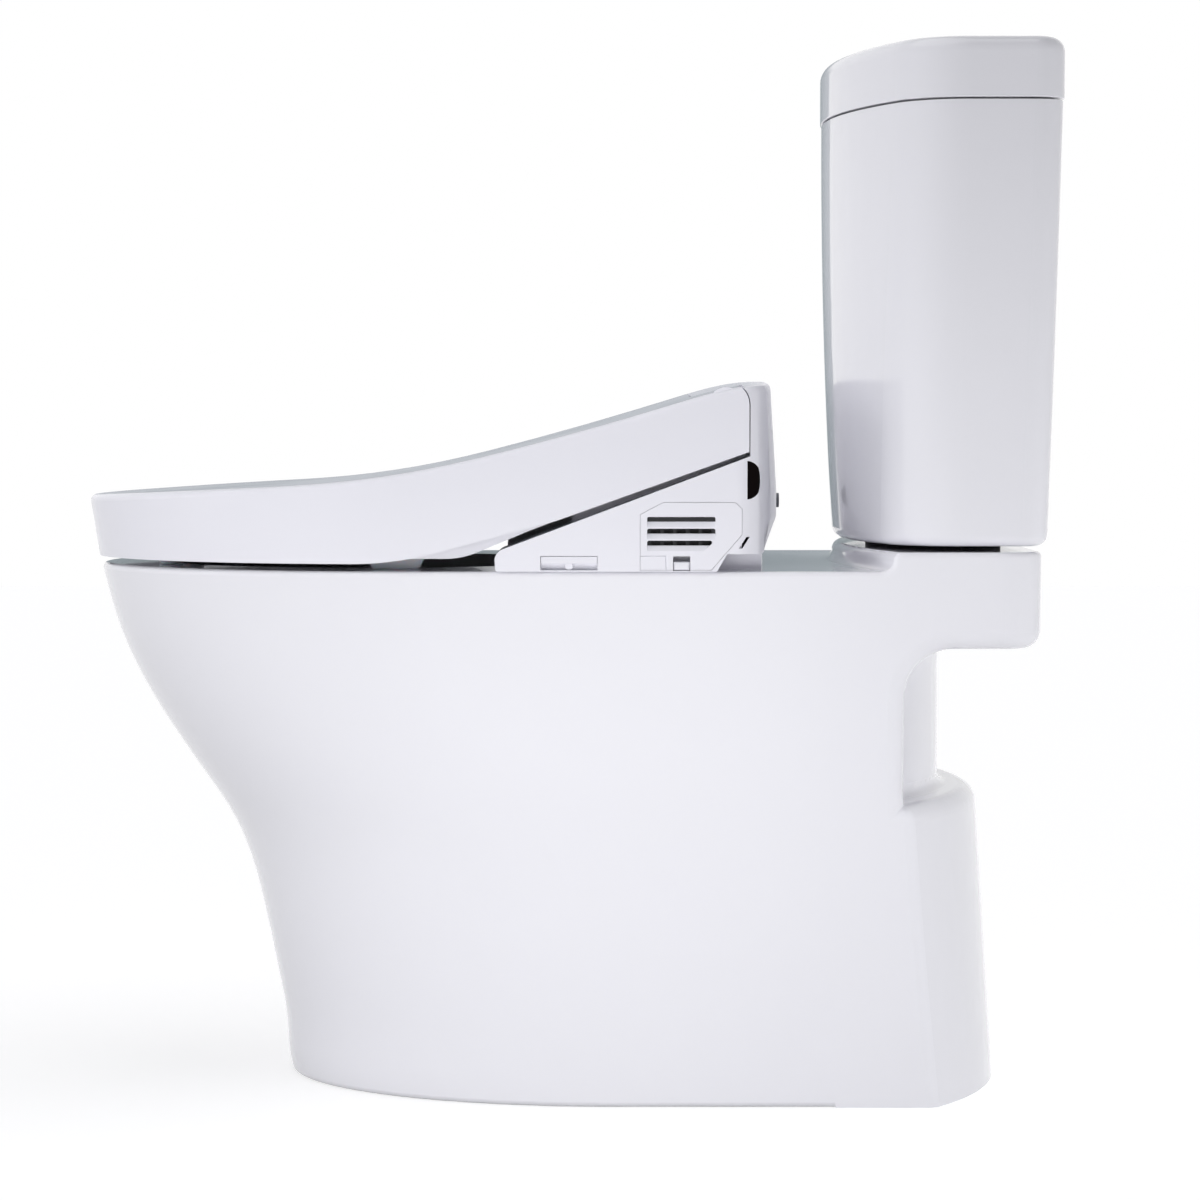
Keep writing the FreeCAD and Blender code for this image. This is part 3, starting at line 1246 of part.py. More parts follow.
def drain_cover():
    x0 = UNIT_HALF - PORT_DEPTH
    top = RIM_Z + SILL + PORT_HEIGHT - PORT_PLAY
    plate = box(x0, UNIT_HALF - 1, PORT_FRONT + PORT_PLAY, PORT_REAR - PORT_PLAY, top - PORT_HEIGHT / 2, top)
    start = V(x0, (PORT_FRONT + PORT_REAR) / 2, RIM_Z + SILL + PLUG_R)
    return plate.fuse(rod(PLUG_R, start, start + V(PORT_DEPTH - 3, 0, 0)))


# Bidet seat: fixing to the bowl

def mounting_plate():
    half = PLATE_HALF
    plate = box(-half, half, PLATE_FRONT, PLATE_REAR, RIM_Z, RIM_Z + PLATE)
    plate = plate.makeFillet(8.0, [e for e in plate.Edges if e.BoundBox.ZLength > PLATE - 0.1])
    slots = []
    for half, reach, low in ((SEAT_BOLT_R + 1, 14, -1), (SEAT_HEAD_R + 2, 20, PLATE - SEAT_HEAD)):
        slot = box(SEAT_BOLT_X - half, SEAT_BOLT_X + half, SEAT_BOLT_Y - reach, SEAT_BOLT_Y + reach,
                   RIM_Z + low, RIM_Z + PLATE + 1)
        slots.append(both(slot))
    return plate.cut(slots)


def seat_bolt_drum(radius, z0, z1):
    return drum(radius, SEAT_BOLT_X, SEAT_BOLT_Y, z0, z1)


def mounting_bolt():
    top = RIM_Z + PLATE
    head = seat_bolt_drum(SEAT_HEAD_R, top - SEAT_HEAD, top)
    return seat_bolt_drum(SEAT_BOLT_R, RIM_Z - DECK - BULB - 6, top - SEAT_HEAD).fuse(head)


def mounting_bushing():
    low = RIM_Z - DECK
    sleeve = seat_bolt_drum(SEAT_BOLT_HOLE - 0.5, low - 1, RIM_Z)
    bulb = Part.makeCone(BULB_R - 5, BULB_R, BULB, V(SEAT_BOLT_X, SEAT_BOLT_Y, low - BULB))
    return sleeve.fuse(bulb).cut(seat_bolt_drum(SEAT_BOLT_R, low - BULB - 1, RIM_Z + 1))


# Bidet seat: hinge

def hinge_shaft():
    return hinge_rod(SHAFT_R, BLOCK_X - 12, COVER_HALF - COVER_WALL - 2)


def hinge_damper():
    return hinge_rod(DAMPER_R, BLOCK_X - 52, BLOCK_X - 12)


# Bidet seat: wand

def wand():
    tip = wand_place(WAND_SETBACK)
    end = wand_place(WAND_SETBACK + WAND_LENGTH)
    way = end - tip
    way.normalize()
    body = rod(WAND_R, tip, end).cut(rod(WAND_R - WAND_WALL, tip + way * 20, end + way))
    base = wand_place(WAND_SETBACK + NOZZLE_BACK)
    return body.cut(rod(NOZZLE_R, base, base + V(0, -way.z, way.y) * 2 * WAND_R))


def wand_nozzle():
    base = wand_place(WAND_SETBACK + NOZZLE_BACK)
    tilt = math.radians(WAND_TILT)
    up = V(0, -math.sin(tilt), math.cos(tilt))
    along = V(0, math.cos(tilt), math.sin(tilt))
    disc = rod(NOZZLE_R, base, base + up * (WAND_R - 0.5))
    holes = []
    for turn in range(JETS):
        angle = 2 * math.pi * turn / JETS
        jet = base + (V(1, 0, 0) * math.cos(angle) + along * math.sin(angle)) * (NOZZLE_R / 2)
        holes.append(rod(JET_R, jet + up * 3, jet + up * (WAND_R + 1)))
    return disc.cut(holes)


def wand_cap():
    tip = wand_place(WAND_SETBACK)
    return rod(CAP_R, wand_place(WAND_SETBACK - CAP), tip)


def wand_rail():
    start = wand_place(WAND_SETBACK + 30)
    end = wand_place(WAND_SETBACK + 108)
    outer = rod(WAND_R + RAIL_PLAY + RAIL_WALL, start, end)
    legs = []
    for c in (WAND_SETBACK + 40, WAND_SETBACK + 96):
        at = wand_place(c)
        legs.append(box(-6, 6, at.y - 4, at.y + 4, floor_under(at.y), at.z))
    body = outer.fuse(legs)
    return whole(body.cut(rod(WAND_R + RAIL_PLAY, wand_place(0), wand_place(200))))


def floor_under(y):
    # inner floor of the unit, raised over the mounting plate
    if PLATE_FRONT - 5 < y < PLATE_REAR + 5:
        return RIM_Z + PLATE + PLATE_PLAY + UNIT_WALL
    return FLOOR


def wand_motor():
    at = wand_place(WAND_SETBACK + 70)
    z0 = floor_under(at.y)
    case = box(WAND_R + RAIL_PLAY + RAIL_WALL, 32, at.y - 14, at.y + 14, z0, at.z + 4)
    can = rod(11.0, V(16, at.y, at.z - 8), V(38, at.y, at.z - 8))
    return case.fuse(can)


# Bidet seat: dryer

def dryer_flap():
    z0 = RIM_Z + FLAP_LOW + 0.5
    z1 = RIM_Z + FLAP_TOP - FLAP_GAP
    plate = box(FLAP_X - FLAP_HALF + 0.6, FLAP_X + FLAP_HALF - 0.6, FRONT_Y + 1, FRONT_Y + 1 + FLAP, z0, z1)
    barrel = flap_rod(FLAP_PIN_R + FLAP_EYE, FLAP_HALF - 3)
    return plate.fuse(barrel).cut(flap_rod(FLAP_PIN_R + RUNNING, FLAP_HALF + 1))


def flap_rod(radius, reach):
    z = RIM_Z + FLAP_TOP - FLAP_GAP - FLAP_PIN_R - FLAP_EYE
    return rod(radius, V(FLAP_X - reach, FRONT_Y + 3, z), V(FLAP_X + reach, FRONT_Y + 3, z))


def flap_pin():
    return flap_rod(FLAP_PIN_R, FLAP_HALF)


def fan_axis(radius, x0, x1):
    z = RIM_Z + FAN_RISE
    return rod(radius, V(x0, FAN_Y, z), V(x1, FAN_Y, z))


def fan_housing():
    # scroll with a duct to the flap
    z = RIM_Z + FAN_RISE
    x0 = FAN_X - FAN_WIDTH / 2
    x1 = FAN_X + FAN_WIDTH / 2
    duct_y = FRONT_Y + 12
    low = z - FAN_R
    duct = across([(duct_y, RIM_Z + FLAP_LOW), (duct_y, RIM_Z + FLAP_TOP), (FAN_Y - 4, low + 24),
                   (FAN_Y, low)], x0, x1)
    hole = across([(duct_y - 1, RIM_Z + FLAP_LOW + FAN_WALL), (duct_y - 1, RIM_Z + FLAP_TOP - FAN_WALL),
                   (FAN_Y - 6, low + 24 - FAN_WALL), (FAN_Y, low + FAN_WALL)], x0 + FAN_WALL, x1 - FAN_WALL)
    foot = box(x0 + 4, x1 - 4, FAN_Y - 10, FAN_Y + 10, floor_under(FAN_Y), low + 6)
    body = fan_axis(FAN_R, x0, x1).fuse([duct, foot])
    body = body.cut([fan_axis(FAN_R - FAN_WALL, x0 + FAN_WALL, x1 - FAN_WALL), hole])
    eye = fan_axis(FAN_EYE_R, x0 - 1, x0 + FAN_WALL + 1)
    return whole(body.cut([eye, fan_axis(FAN_SHAFT_R + RUNNING, x1 - 3, x1 + 1)]))


def fan_wheel():
    x0 = FAN_X - FAN_WIDTH / 2 + FAN_WALL + 1.5
    x1 = FAN_X + FAN_WIDTH / 2 - FAN_WALL - 1.5
    disc = fan_axis(WHEEL_R, x1 - 1.5, x1)
    hub = fan_axis(7.0, x1 - 12, x1)
    shaft = fan_axis(FAN_SHAFT_R, x1 - 12, FAN_X + FAN_WIDTH / 2 + 6)
    rim = fan_axis(WHEEL_R, x0, x0 + 1.5).cut(fan_axis(WHEEL_R - 6, x0 - 1, x0 + 3))
    blades = []
    middle = V(0, FAN_Y, RIM_Z + FAN_RISE)
    for turn in range(BLADES):
        blade = box(x0, x1, FAN_Y - 0.6, FAN_Y + 0.6, middle.z + WHEEL_R - 5, middle.z + WHEEL_R - 0.6)
        blade.rotate(middle, V(1, 0, 0), 360 * turn / BLADES)
        blades.append(blade)
    return whole(disc.fuse([hub, shaft, rim] + blades))


def fan_motor():
    x0 = FAN_X + FAN_WIDTH / 2
    return fan_axis(FAN_MOTOR_R, x0, x0 + FAN_MOTOR).cut(fan_axis(FAN_SHAFT_R + RUNNING, x0 - 1, x0 + 8))


# Bidet seat: water and electronics

def water_heater():
    z0 = floor_under(HEATER_FRONT + 30)
    body = box(HEATER_IN, HEATER_OUT, HEATER_FRONT, HEATER_REAR, z0, z0 + HEATER_HEIGHT)
    keep = [e for e in body.Edges if e.BoundBox.ZMax > z0 + 1]
    body = body.makeFillet(8.0, keep)
    top = z0 + HEATER_HEIGHT
    for x in (HEATER_IN + 15, HEATER_IN + 35):
        body = body.fuse(drum(HEATER_PORT_R, x, HEATER_REAR - 22, top - 2, top + 12))
    return body.cut(plate_pocket(UNIT_WALL))


def inlet_rod(radius, start, end):
    # round the water inlet, measured inwards from the side of the unit
    z = RIM_Z + INLET_RISE
    return rod(radius, V(start - UNIT_HALF, HOSE_Y, z), V(end - UNIT_HALF, HOSE_Y, z))


def inlet_valve():
    half = INLET_CASE / 2
    x0 = UNIT_WALL + SEAM
    case = box(x0 - UNIT_HALF, x0 + INLET_CASE - UNIT_HALF, HOSE_Y - half, HOSE_Y + half, FLOOR,
               RIM_Z + INLET_RISE + half)
    neck = inlet_rod(INLET_NECK_R, -SEAM, x0)
    thread = inlet_rod(INLET_THREAD_R, -SEAM - INLET_THREAD, -SEAM)
    return whole(case.fuse([neck, thread]).cut(inlet_rod(INLET_BORE_R, -SEAM - INLET_THREAD - 1, x0 + half)))


def cord_rod(radius, start, end):
    # round the power cord, measured outwards from the back of the unit
    z = RIM_Z + CORD_RISE
    return rod(radius, V(CORD_X, UNIT_BACK + start, z), V(CORD_X, UNIT_BACK + end, z))


def cord_gland():
    body = cord_rod(GLAND_R, -GLAND_IN, GLAND_OUT).fuse(cord_rod(COLLAR_R, GLAND_PLAY, COLLAR))
    return whole(body.cut(cord_rod(CORD_R, -GLAND_IN - 1, GLAND_OUT + 1)))


def control_board():
    face = BOARD_X + BOARD
    board = box(BOARD_X, face, BOARD_FRONT, BOARD_FRONT + BOARD_LENGTH, FLOOR, FLOOR + BOARD_HEIGHT)
    chips = []
    for i in range(CHIPS):
        y = BOARD_FRONT + 8 + 20 * i
        chips.append(box(face, face + CHIP, y, y + 13, FLOOR + 16, FLOOR + 30 + 3 * (i % 2)))
    return board.fuse(chips)


# Bidet seat: seat ring

def seat_side(low, high, x0, x1):
    # rails climb over the sloped shoulders of the unit to the hinge
    base = RIM_Z + SEAT_LOW + low
    top = RIM_Z + SEAT_LOW + SEAT_THICK + high
    rise = SEAT_LIFT + low
    return across([(-420, base), (SEAT_BEND, base, 60), (-20, slope_z(-20) + rise, 30),
                   (HINGE.y - 16, slope_z(HINGE.y - 16) + rise), (HINGE.y - 3, HINGE.z - EYE_R - 2 + low),
                   (HINGE.y - 2, HINGE.z + 4), (HINGE.y - 14, HINGE.z + 2 + high),
                   (-8, RIM_Z + 58 + high, 50), (-95, top, 120), (-420, top)], x0, x1)


def seat_plan(inset, z0, z1):
    plan = nose_wire(SEAT_HALF - inset, SEAT_TIP + inset, SEAT_TIP + SEAT_NOSE, SEAT_REAR - inset, z0)
    plan = slab(plan, z1 - z0)
    hole = slab(oval(SEAT_HOLE_HALF + inset, SEAT_HOLE_FRONT - inset, SEAT_HOLE_REAR + inset, z0), z1 - z0)
    return plan.cut(hole)


def seat_solid():
    wide = SEAT_HALF + 5
    body = seat_plan(0, RIM_Z, ABOVE).common(seat_side(0, 0, -wide, wide)).Solids[0]
    upper = seat_side(SEAT_BASE, 60, -wide, wide)
    edges = [e for e in body.Edges if e.BoundBox.YLength > 0.5]
    edges = [e for e in edges if upper.isInside(e.valueAt(sum(e.ParameterRange) / 2), 0.01, True)]
    body = body.makeFillet(SEAT_ROUND, edges)
    arm = box(ARM_IN, ARM_OUT, SEAT_REAR - 30, HINGE.y + 40, RIM_Z, ABOVE)
    arm = arm.common(seat_side(0, 0, ARM_IN - 5, ARM_OUT + 5)).fuse(hinge_rod(EYE_R, ARM_IN, ARM_OUT))
    return body, arm, upper


def seat_parts():
    body, arm, upper = seat_solid()
    wide = SEAT_HALF + 5
    below = seat_side(0, 0, -wide, wide).cut(upper)
    base = body.common(below)
    hollow = seat_plan(SEAT_WALL, RIM_Z, ABOVE).common(seat_side(0, -SEAT_WALL, -wide, wide))
    top = body.cut(below).cut(hollow)
    bore = hinge_rod(SHAFT_R + RUNNING, ARM_IN - 1, ARM_OUT + 1)
    top = top.fuse(both(arm.cut(below))).cut(both(bore))
    return top, base


def seat_pads():
    pads = []
    low = RIM_Z + SEAM
    top = RIM_Z + SEAT_LOW
    half = PAD_LENGTH / 2
    ends = [(PAD_Y - half + 5, low, 3), (PAD_Y - half, top), (PAD_Y + half, top), (PAD_Y + half - 4, low, 3)]
    side = across(ends, PAD_X - PAD_WIDTH / 2, PAD_X + PAD_WIDTH / 2)
    front = drum(9.0, PAD_FRONT_X, PAD_FRONT_Y, low, top)
    return Part.makeCompound([side, mirrored(side), front, mirrored(front)])


def main():
    os.makedirs("parts", exist_ok=True)
    save("bowl", bowl())
    save("floor_adapter", floor_adapter())
    save("outlet_seal", outlet_seal())
    save("adapter_screws", pair(adapter_screw()))
    save("tank", tank())
    save("tank_lid", tank_lid())
    save("tank_bolts", pair(tank_bolt()))
    save("tank_bolt_washers", pair(tank_bolt_washer()))
    save("tank_spacers", pair(tank_spacer()))
    save("tank_bolt_nuts", pair(tank_bolt_nut()))
    save("tank_gasket", tank_gasket())
    save("flush_valve_body", valve_body())
    save("flush_valve_locknut", valve_locknut())
    save("flush_canister", canister())
    save("flush_seal", canister_seal())
    save("lift_lever", lift_lever())
    save("fill_valve_body", fill_body())
    save("fill_valve_locknut", fill_locknut())
    save("fill_float", fill_float())
    save("refill_hose", refill_hose())
    save("button_bezel", bezel())
    save("full_flush_button", button(True))
    save("half_flush_button", button(False))
    save("seat_cover", cover())
    save("cover_pads", cover_pads())
    save("unit_lower_case", lower_case())
    save("unit_upper_cover", upper_cover())
    save("sensor_lens", sensor_lens())
    save("filter_cover", filter_cover())
    save("filter_cartridge", filter_cartridge())
    save("release_button", release_button())
    save("drain_cover", drain_cover())
    save("mounting_plate", mounting_plate())
    save("mounting_bolts", pair(mounting_bolt()))
    save("mounting_bushings", pair(mounting_bushing()))
    save("hinge_shafts", pair(hinge_shaft()))
    save("hinge_dampers", pair(hinge_damper()))
    save("wand", wand())
    save("wand_nozzle", wand_nozzle())
    save("wand_cap", wand_cap())
    save("wand_rail", wand_rail())
    save("wand_motor", wand_motor())
    save("dryer_flap", dryer_flap())
    save("flap_pin", flap_pin())
    save("fan_housing", fan_housing())
    save("fan_wheel", fan_wheel())
    save("fan_motor", fan_motor())
    save("water_heater", water_heater())
    save("inlet_valve", inlet_valve())
    save("cord_gland", cord_gland())
    save("control_board", control_board())
    top, base = seat_parts()
    save("seat_ring", top)
    save("seat_underside", base)
    save("seat_pads", seat_pads())


main()
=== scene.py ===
import bpy
import json
import math
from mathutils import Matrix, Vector

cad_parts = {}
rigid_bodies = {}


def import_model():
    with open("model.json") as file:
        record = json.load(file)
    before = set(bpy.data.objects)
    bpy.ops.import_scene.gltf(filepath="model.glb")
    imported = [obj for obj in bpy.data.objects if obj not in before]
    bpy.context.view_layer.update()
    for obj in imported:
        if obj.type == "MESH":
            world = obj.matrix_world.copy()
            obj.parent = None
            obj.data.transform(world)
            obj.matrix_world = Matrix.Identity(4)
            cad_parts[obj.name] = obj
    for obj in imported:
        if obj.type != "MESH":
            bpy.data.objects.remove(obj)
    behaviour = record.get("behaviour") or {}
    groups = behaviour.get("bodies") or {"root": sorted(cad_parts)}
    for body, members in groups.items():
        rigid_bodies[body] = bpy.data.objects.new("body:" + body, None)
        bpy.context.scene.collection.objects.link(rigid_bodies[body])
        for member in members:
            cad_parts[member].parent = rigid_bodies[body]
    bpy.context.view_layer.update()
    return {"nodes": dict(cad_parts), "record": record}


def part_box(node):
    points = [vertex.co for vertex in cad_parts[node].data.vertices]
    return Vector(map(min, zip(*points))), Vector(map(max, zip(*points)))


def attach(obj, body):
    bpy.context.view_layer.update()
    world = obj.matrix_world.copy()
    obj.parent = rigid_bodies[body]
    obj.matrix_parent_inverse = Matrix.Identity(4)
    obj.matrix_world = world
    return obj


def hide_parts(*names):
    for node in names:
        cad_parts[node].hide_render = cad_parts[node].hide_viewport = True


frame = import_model()
nodes = frame["nodes"]
BODY_OF = {node: body for body, names in frame["record"]["behaviour"]["bodies"].items() for node in names}
SLOT_OF = {row["node"]: row["material_slot"] for row in frame["record"]["subparts"]}

# Camera, in metres: it stands on the filter side and looks across the toilet
IMAGE = 1200
HORIZON_ROW = 420
FOCAL_PIXELS = 3024.0
CAMERA_X = 2.40
CAMERA_Y = 0.03175
CAMERA_Z = 0.517
SENSOR = 36.0

# Studio
FLOOR_SIZE = 14.0
FLOOR_TONE = (0.52, 0.52, 0.525, 1.0)
FLOOR_ROUGHNESS = 0.9
FLOOR_SHOWN = 0.55          # share of the floor's own shading that the camera sees
FLOOR_WHITE = 0.685         # white that fills the rest
SUN_FALL = (-0.05, -0.35, -1.0)
SUN_ANGLE = math.radians(55)
SUN_STRENGTH = 0.94
KEY_PLACE = (1.0, 0.0, 0.12)
KEY_AIM = (0.0, 0.0, 0.2)
KEY_SIZE = (0.5, 0.5)
KEY_POWER = 6.0
FRONT_PLACE = (0.8, -2.2, 0.9)
FRONT_AIM = (0.0, 0.1, 0.4)
FRONT_SIZE = (1.2, 1.2)
FRONT_POWER = 19.0
TANK_POWER = 12.0           # the same lamp, as it falls on the tank and its lid
SIDE_PLACE = (0.3, 1.35, 0.14)
SIDE_AIM = (0.1, 0.35, 0.16)
SIDE_SIZE = (0.6, 0.5)
SIDE_POWER = 7.0
TOP_PLACE = (0.3, -0.5, 2.8)
TOP_SIZE = (2.4, 2.4)
TOP_POWER = 18.0
BACK_PLACE = (-2.6, -1.2, 1.9)
BACK_SIZE = (2.0, 2.0)
BACK_POWER = 40.0
MIDDLE = (0.0, 0.0, 0.38)
WORLD_TINT = (0.93, 0.935, 1.0, 1.0)
WORLD_FRONT = 0.36          # strength of the sky before the toilet
WORLD_WALL = 0.24           # and behind its tank
CARD_TONE = (0.30, 0.345, 0.365, 1.0)
CARD_PLACE = (-6.5, -0.72, 1.4)
CARD_TURN = (math.pi / 2, math.radians(-20), math.pi / 2)
CARD_SIZE = (2.38, 2.8)
CARD_FADE = (0.71, 0.96)    # share of its height over which it turns white

# Rounding of the unit's sharp moulded edges, in metres
EDGE_ROUND = 0.0004
EDGE_STEPS = 2
EDGE_ANGLE = math.radians(38)
MERGE = 0.00001             # corners closer than this become one
FLAT_ANGLE = math.radians(0.6)   # faces flatter than this become one
SOFT_PIECES = ("unit_lower_case", "unit_upper_cover", "filter_cover", "release_button", "drain_cover",
               "sensor_lens")

# Open seam under the tank's lid, in metres
TANK_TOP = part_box("tank")[1][2]
LID_RISE = 0.0013           # how far the lid's lower edge stands off
LID_BAND = 0.0035           # height of the edge that gives way for it

# Long sweep of the unit's rear corners, in metres
UNIT_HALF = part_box("unit_upper_cover")[1][0]
UNIT_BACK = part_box("unit_upper_cover")[1][1]
UNIT_CORNER = 0.036
SWEEP_DEPTH = 0.024
SWEEP_MIDDLE = 0.060        # half width of the flat middle of the rear wall
SWEEP_CUTS = 14
SWEPT_PIECES = ("unit_lower_case", "unit_upper_cover", "sensor_lens")

# Noise behind the finishes
TONE_DETAIL = 3.0
GRAIN_DETAIL = 2.0
NOISE_LOW = 0.3             # the noise's usual range, spread over the whole range of gloss
NOISE_HIGH = 0.7

# Colours of the finishes
WHITE = (1.0, 1.0, 1.0, 1.0)
CHINA_WHITE = (0.84, 0.838, 0.878, 1.0)
CHINA_SHADE = (0.815, 0.813, 0.855, 1.0)
SEAT_WHITE = (0.835, 0.832, 0.882, 1.0)
SEAT_SHADE = (0.805, 0.802, 0.858, 1.0)
UNIT_WHITE = (0.835, 0.832, 0.882, 1.0)
UNIT_SHADE = (0.805, 0.802, 0.858, 1.0)
MILKY = (0.74, 0.75, 0.79, 1.0)
MILKY_SHADE = (0.68, 0.69, 0.73, 1.0)
ACETAL = (0.78, 0.78, 0.76, 1.0)
ACETAL_SHADE = (0.70, 0.70, 0.68, 1.0)
GREY = (0.20, 0.21, 0.225, 1.0)
GREY_SHADE = (0.14, 0.145, 0.16, 1.0)
RUBBER = (0.018, 0.018, 0.019, 1.0)
RUBBER_SHADE = (0.030, 0.030, 0.031, 1.0)
LENS = (0.0015, 0.001, 0.0015, 1.0)
LENS_SHADE = (0.004, 0.001, 0.001, 1.0)
FOAM = (0.016, 0.016, 0.017, 1.0)
FOAM_SHADE = (0.050, 0.050, 0.052, 1.0)
BOARD = (0.014, 0.10, 0.040, 1.0)
BOARD_SHADE = (0.022, 0.15, 0.060, 1.0)
CHROME = (0.78, 0.79, 0.81, 1.0)
CHROME_SHADE = (0.72, 0.73, 0.75, 1.0)
STEEL = (0.56, 0.56, 0.58, 1.0)
STEEL_SHADE = (0.46, 0.46, 0.48, 1.0)
BRASS = (0.68, 0.47, 0.20, 1.0)
BRASS_SHADE = (0.55, 0.36, 0.14, 1.0)


# Shared effects

def new_group(name, inputs, outputs):
    group = bpy.data.node_groups.new(name, "ShaderNodeTree")
    for label, kind, value in inputs:
        socket = group.interface.new_socket(label, in_out="INPUT", socket_type=kind)
        socket.default_value = value
    for label, kind in outputs:
        group.interface.new_socket(label, in_out="OUTPUT", socket_type=kind)
    return group, group.nodes.new("NodeGroupInput"), group.nodes.new("NodeGroupOutput")


def surface_group():
    """Slow change of tone and gloss over a surface, with the waviness or grain of its skin."""
    floats = [("Tone Scale", 6.0), ("Grain Scale", 300.0), ("Grain Share", 0.5),
              ("Gloss Low", 0.1), ("Gloss High", 0.2)]
    inputs = [("Colour", "NodeSocketColor", WHITE), ("Shade", "NodeSocketColor", WHITE)]
    inputs += [(label, "NodeSocketFloat", value) for label, value in floats]
    outputs = [("Colour", "NodeSocketColor"), ("Roughness", "NodeSocketFloat"), ("Height", "NodeSocketFloat")]
    group, start, end = new_group("moulded_surface", inputs, outputs)
    place = group.nodes.new("ShaderNodeTexCoord")
    slow = group.nodes.new("ShaderNodeTexNoise")
    slow.inputs["Detail"].default_value = TONE_DETAIL
    fine = group.nodes.new("ShaderNodeTexNoise")
    fine.inputs["Detail"].default_value = GRAIN_DETAIL
    tone = group.nodes.new("ShaderNodeMix")
    tone.data_type = "RGBA"
    gloss = group.nodes.new("ShaderNodeMapRange")
    gloss.inputs["From Min"].default_value = NOISE_LOW
    gloss.inputs["From Max"].default_value = NOISE_HIGH
    height = group.nodes.new("ShaderNodeMix")
    link = group.links.new
    for texture, scale in ((slow, "Tone Scale"), (fine, "Grain Scale")):
        link(place.outputs["Object"], texture.inputs["Vector"])
        link(start.outputs[scale], texture.inputs["Scale"])
    link(slow.outputs["Fac"], tone.inputs["Factor"])
    link(start.outputs["Colour"], tone.inputs["A"])
    link(start.outputs["Shade"], tone.inputs["B"])
    link(slow.outputs["Fac"], gloss.inputs["Value"])
    link(start.outputs["Gloss Low"], gloss.inputs["To Min"])
    link(start.outputs["Gloss High"], gloss.inputs["To Max"])
    link(start.outputs["Grain Share"], height.inputs["Factor"])
    link(slow.outputs["Fac"], height.inputs["A"])
    link(fine.outputs["Fac"], height.inputs["B"])
    link(tone.outputs["Result"], end.inputs["Colour"])
    link(gloss.outputs["Result"], end.inputs["Roughness"])
    link(height.outputs["Result"], end.inputs["Height"])
    return group


SURFACE = surface_group()


def finish(name, colour, shade, tone_scale, grain_scale, grain_share, gloss, depth, **sockets):
    """A finish on the shared surface effect; depth is the height of its skin in metres."""
    material = bpy.data.materials.new(name)
    material.use_nodes = True
    tree = material.node_tree
    shader = tree.nodes["Principled BSDF"]
    skin = tree.nodes.new("ShaderNodeGroup")
    skin.node_tree = SURFACE
    values = {"Colour": colour, "Shade": shade, "Tone Scale": tone_scale, "Grain Scale": grain_scale,
              "Grain Share": grain_share, "Gloss Low": gloss[0], "Gloss High": gloss[1]}
    for label, value in values.items():
        skin.inputs[label].default_value = value
    bump = tree.nodes.new("ShaderNodeBump")
    bump.inputs["Strength"].default_value = 1.0
    bump.inputs["Distance"].default_value = depth
    tree.links.new(skin.outputs["Colour"], shader.inputs["Base Color"])
    tree.links.new(skin.outputs["Roughness"], shader.inputs["Roughness"])
    tree.links.new(skin.outputs["Height"], bump.inputs["Height"])
    tree.links.new(bump.outputs["Normal"], shader.inputs["Normal"])
    for label, value in sockets.items():
        shader.inputs[label.replace("_", " ")].default_value = value
    return material


def glazed_china():
    return finish("glazed_china", CHINA_WHITE, CHINA_SHADE, tone_scale=5.0, grain_scale=70.0,
                  grain_share=0.35, gloss=(0.05, 0.10), depth=0.00010,
                  Coat_Weight=0.3, Coat_Roughness=0.03, IOR=1.50)


def seat_plastic():
    return finish("seat_gloss", SEAT_WHITE, SEAT_SHADE, tone_scale=7.0, grain_scale=420.0,
                  grain_share=0.6, gloss=(0.14, 0.22), depth=0.00002,
                  IOR=1.49)


def unit_plastic():
    return finish("unit_gloss", UNIT_WHITE, UNIT_SHADE, tone_scale=9.0, grain_scale=420.0,
                  grain_share=0.6, gloss=(0.22, 0.28), depth=0.00001,
                  IOR=1.49)


def milky_rubber():
    return finish("milky_rubber", MILKY, MILKY_SHADE, tone_scale=40.0, grain_scale=900.0,
                  grain_share=0.6, gloss=(0.32, 0.45), depth=0.00003,
                  IOR=1.43, Subsurface_Weight=0.4, Subsurface_Scale=0.004)


def black_rubber():
    return finish("black_rubber", RUBBER, RUBBER_SHADE, tone_scale=60.0, grain_scale=1400.0,
                  grain_share=0.7, gloss=(0.55, 0.72), depth=0.00005)


def acetal():
    return finish("white_acetal", ACETAL, ACETAL_SHADE, tone_scale=30.0, grain_scale=900.0,
                  grain_share=0.7, gloss=(0.38, 0.50), depth=0.00003)


def grey_plastic():
    return finish("grey_plastic", GREY, GREY_SHADE, tone_scale=30.0, grain_scale=1100.0,
                  grain_share=0.8, gloss=(0.45, 0.60), depth=0.00005)


def window_black():
    return finish("window_black", LENS, LENS_SHADE, tone_scale=55.0, grain_scale=600.0,
                  grain_share=0.4, gloss=(0.10, 0.16), depth=0.00001,
                  IOR=1.12)


def filter_foam():
    return finish("filter_foam", FOAM, FOAM_SHADE, tone_scale=700.0, grain_scale=1600.0,
                  grain_share=0.6, gloss=(0.80, 0.95), depth=0.00040)


def circuit_board():
    return finish("circuit_board", BOARD, BOARD_SHADE, tone_scale=160.0, grain_scale=900.0,
                  grain_share=0.5, gloss=(0.30, 0.45), depth=0.00004)


def chrome_plate():
    return finish("chrome_plate", CHROME, CHROME_SHADE, tone_scale=18.0, grain_scale=300.0,
                  grain_share=0.4, gloss=(0.05, 0.11), depth=0.00001,
                  Metallic=1.0)


def brushed_steel():
    return finish("brushed_steel", STEEL, STEEL_SHADE, tone_scale=90.0, grain_scale=1800.0,
                  grain_share=0.7, gloss=(0.25, 0.40), depth=0.00003,
                  Metallic=1.0)


def plain_brass():
    return finish("plain_brass", BRASS, BRASS_SHADE, tone_scale=70.0, grain_scale=1200.0,
                  grain_share=0.6, gloss=(0.22, 0.38), depth=0.00003,
                  Metallic=1.0)


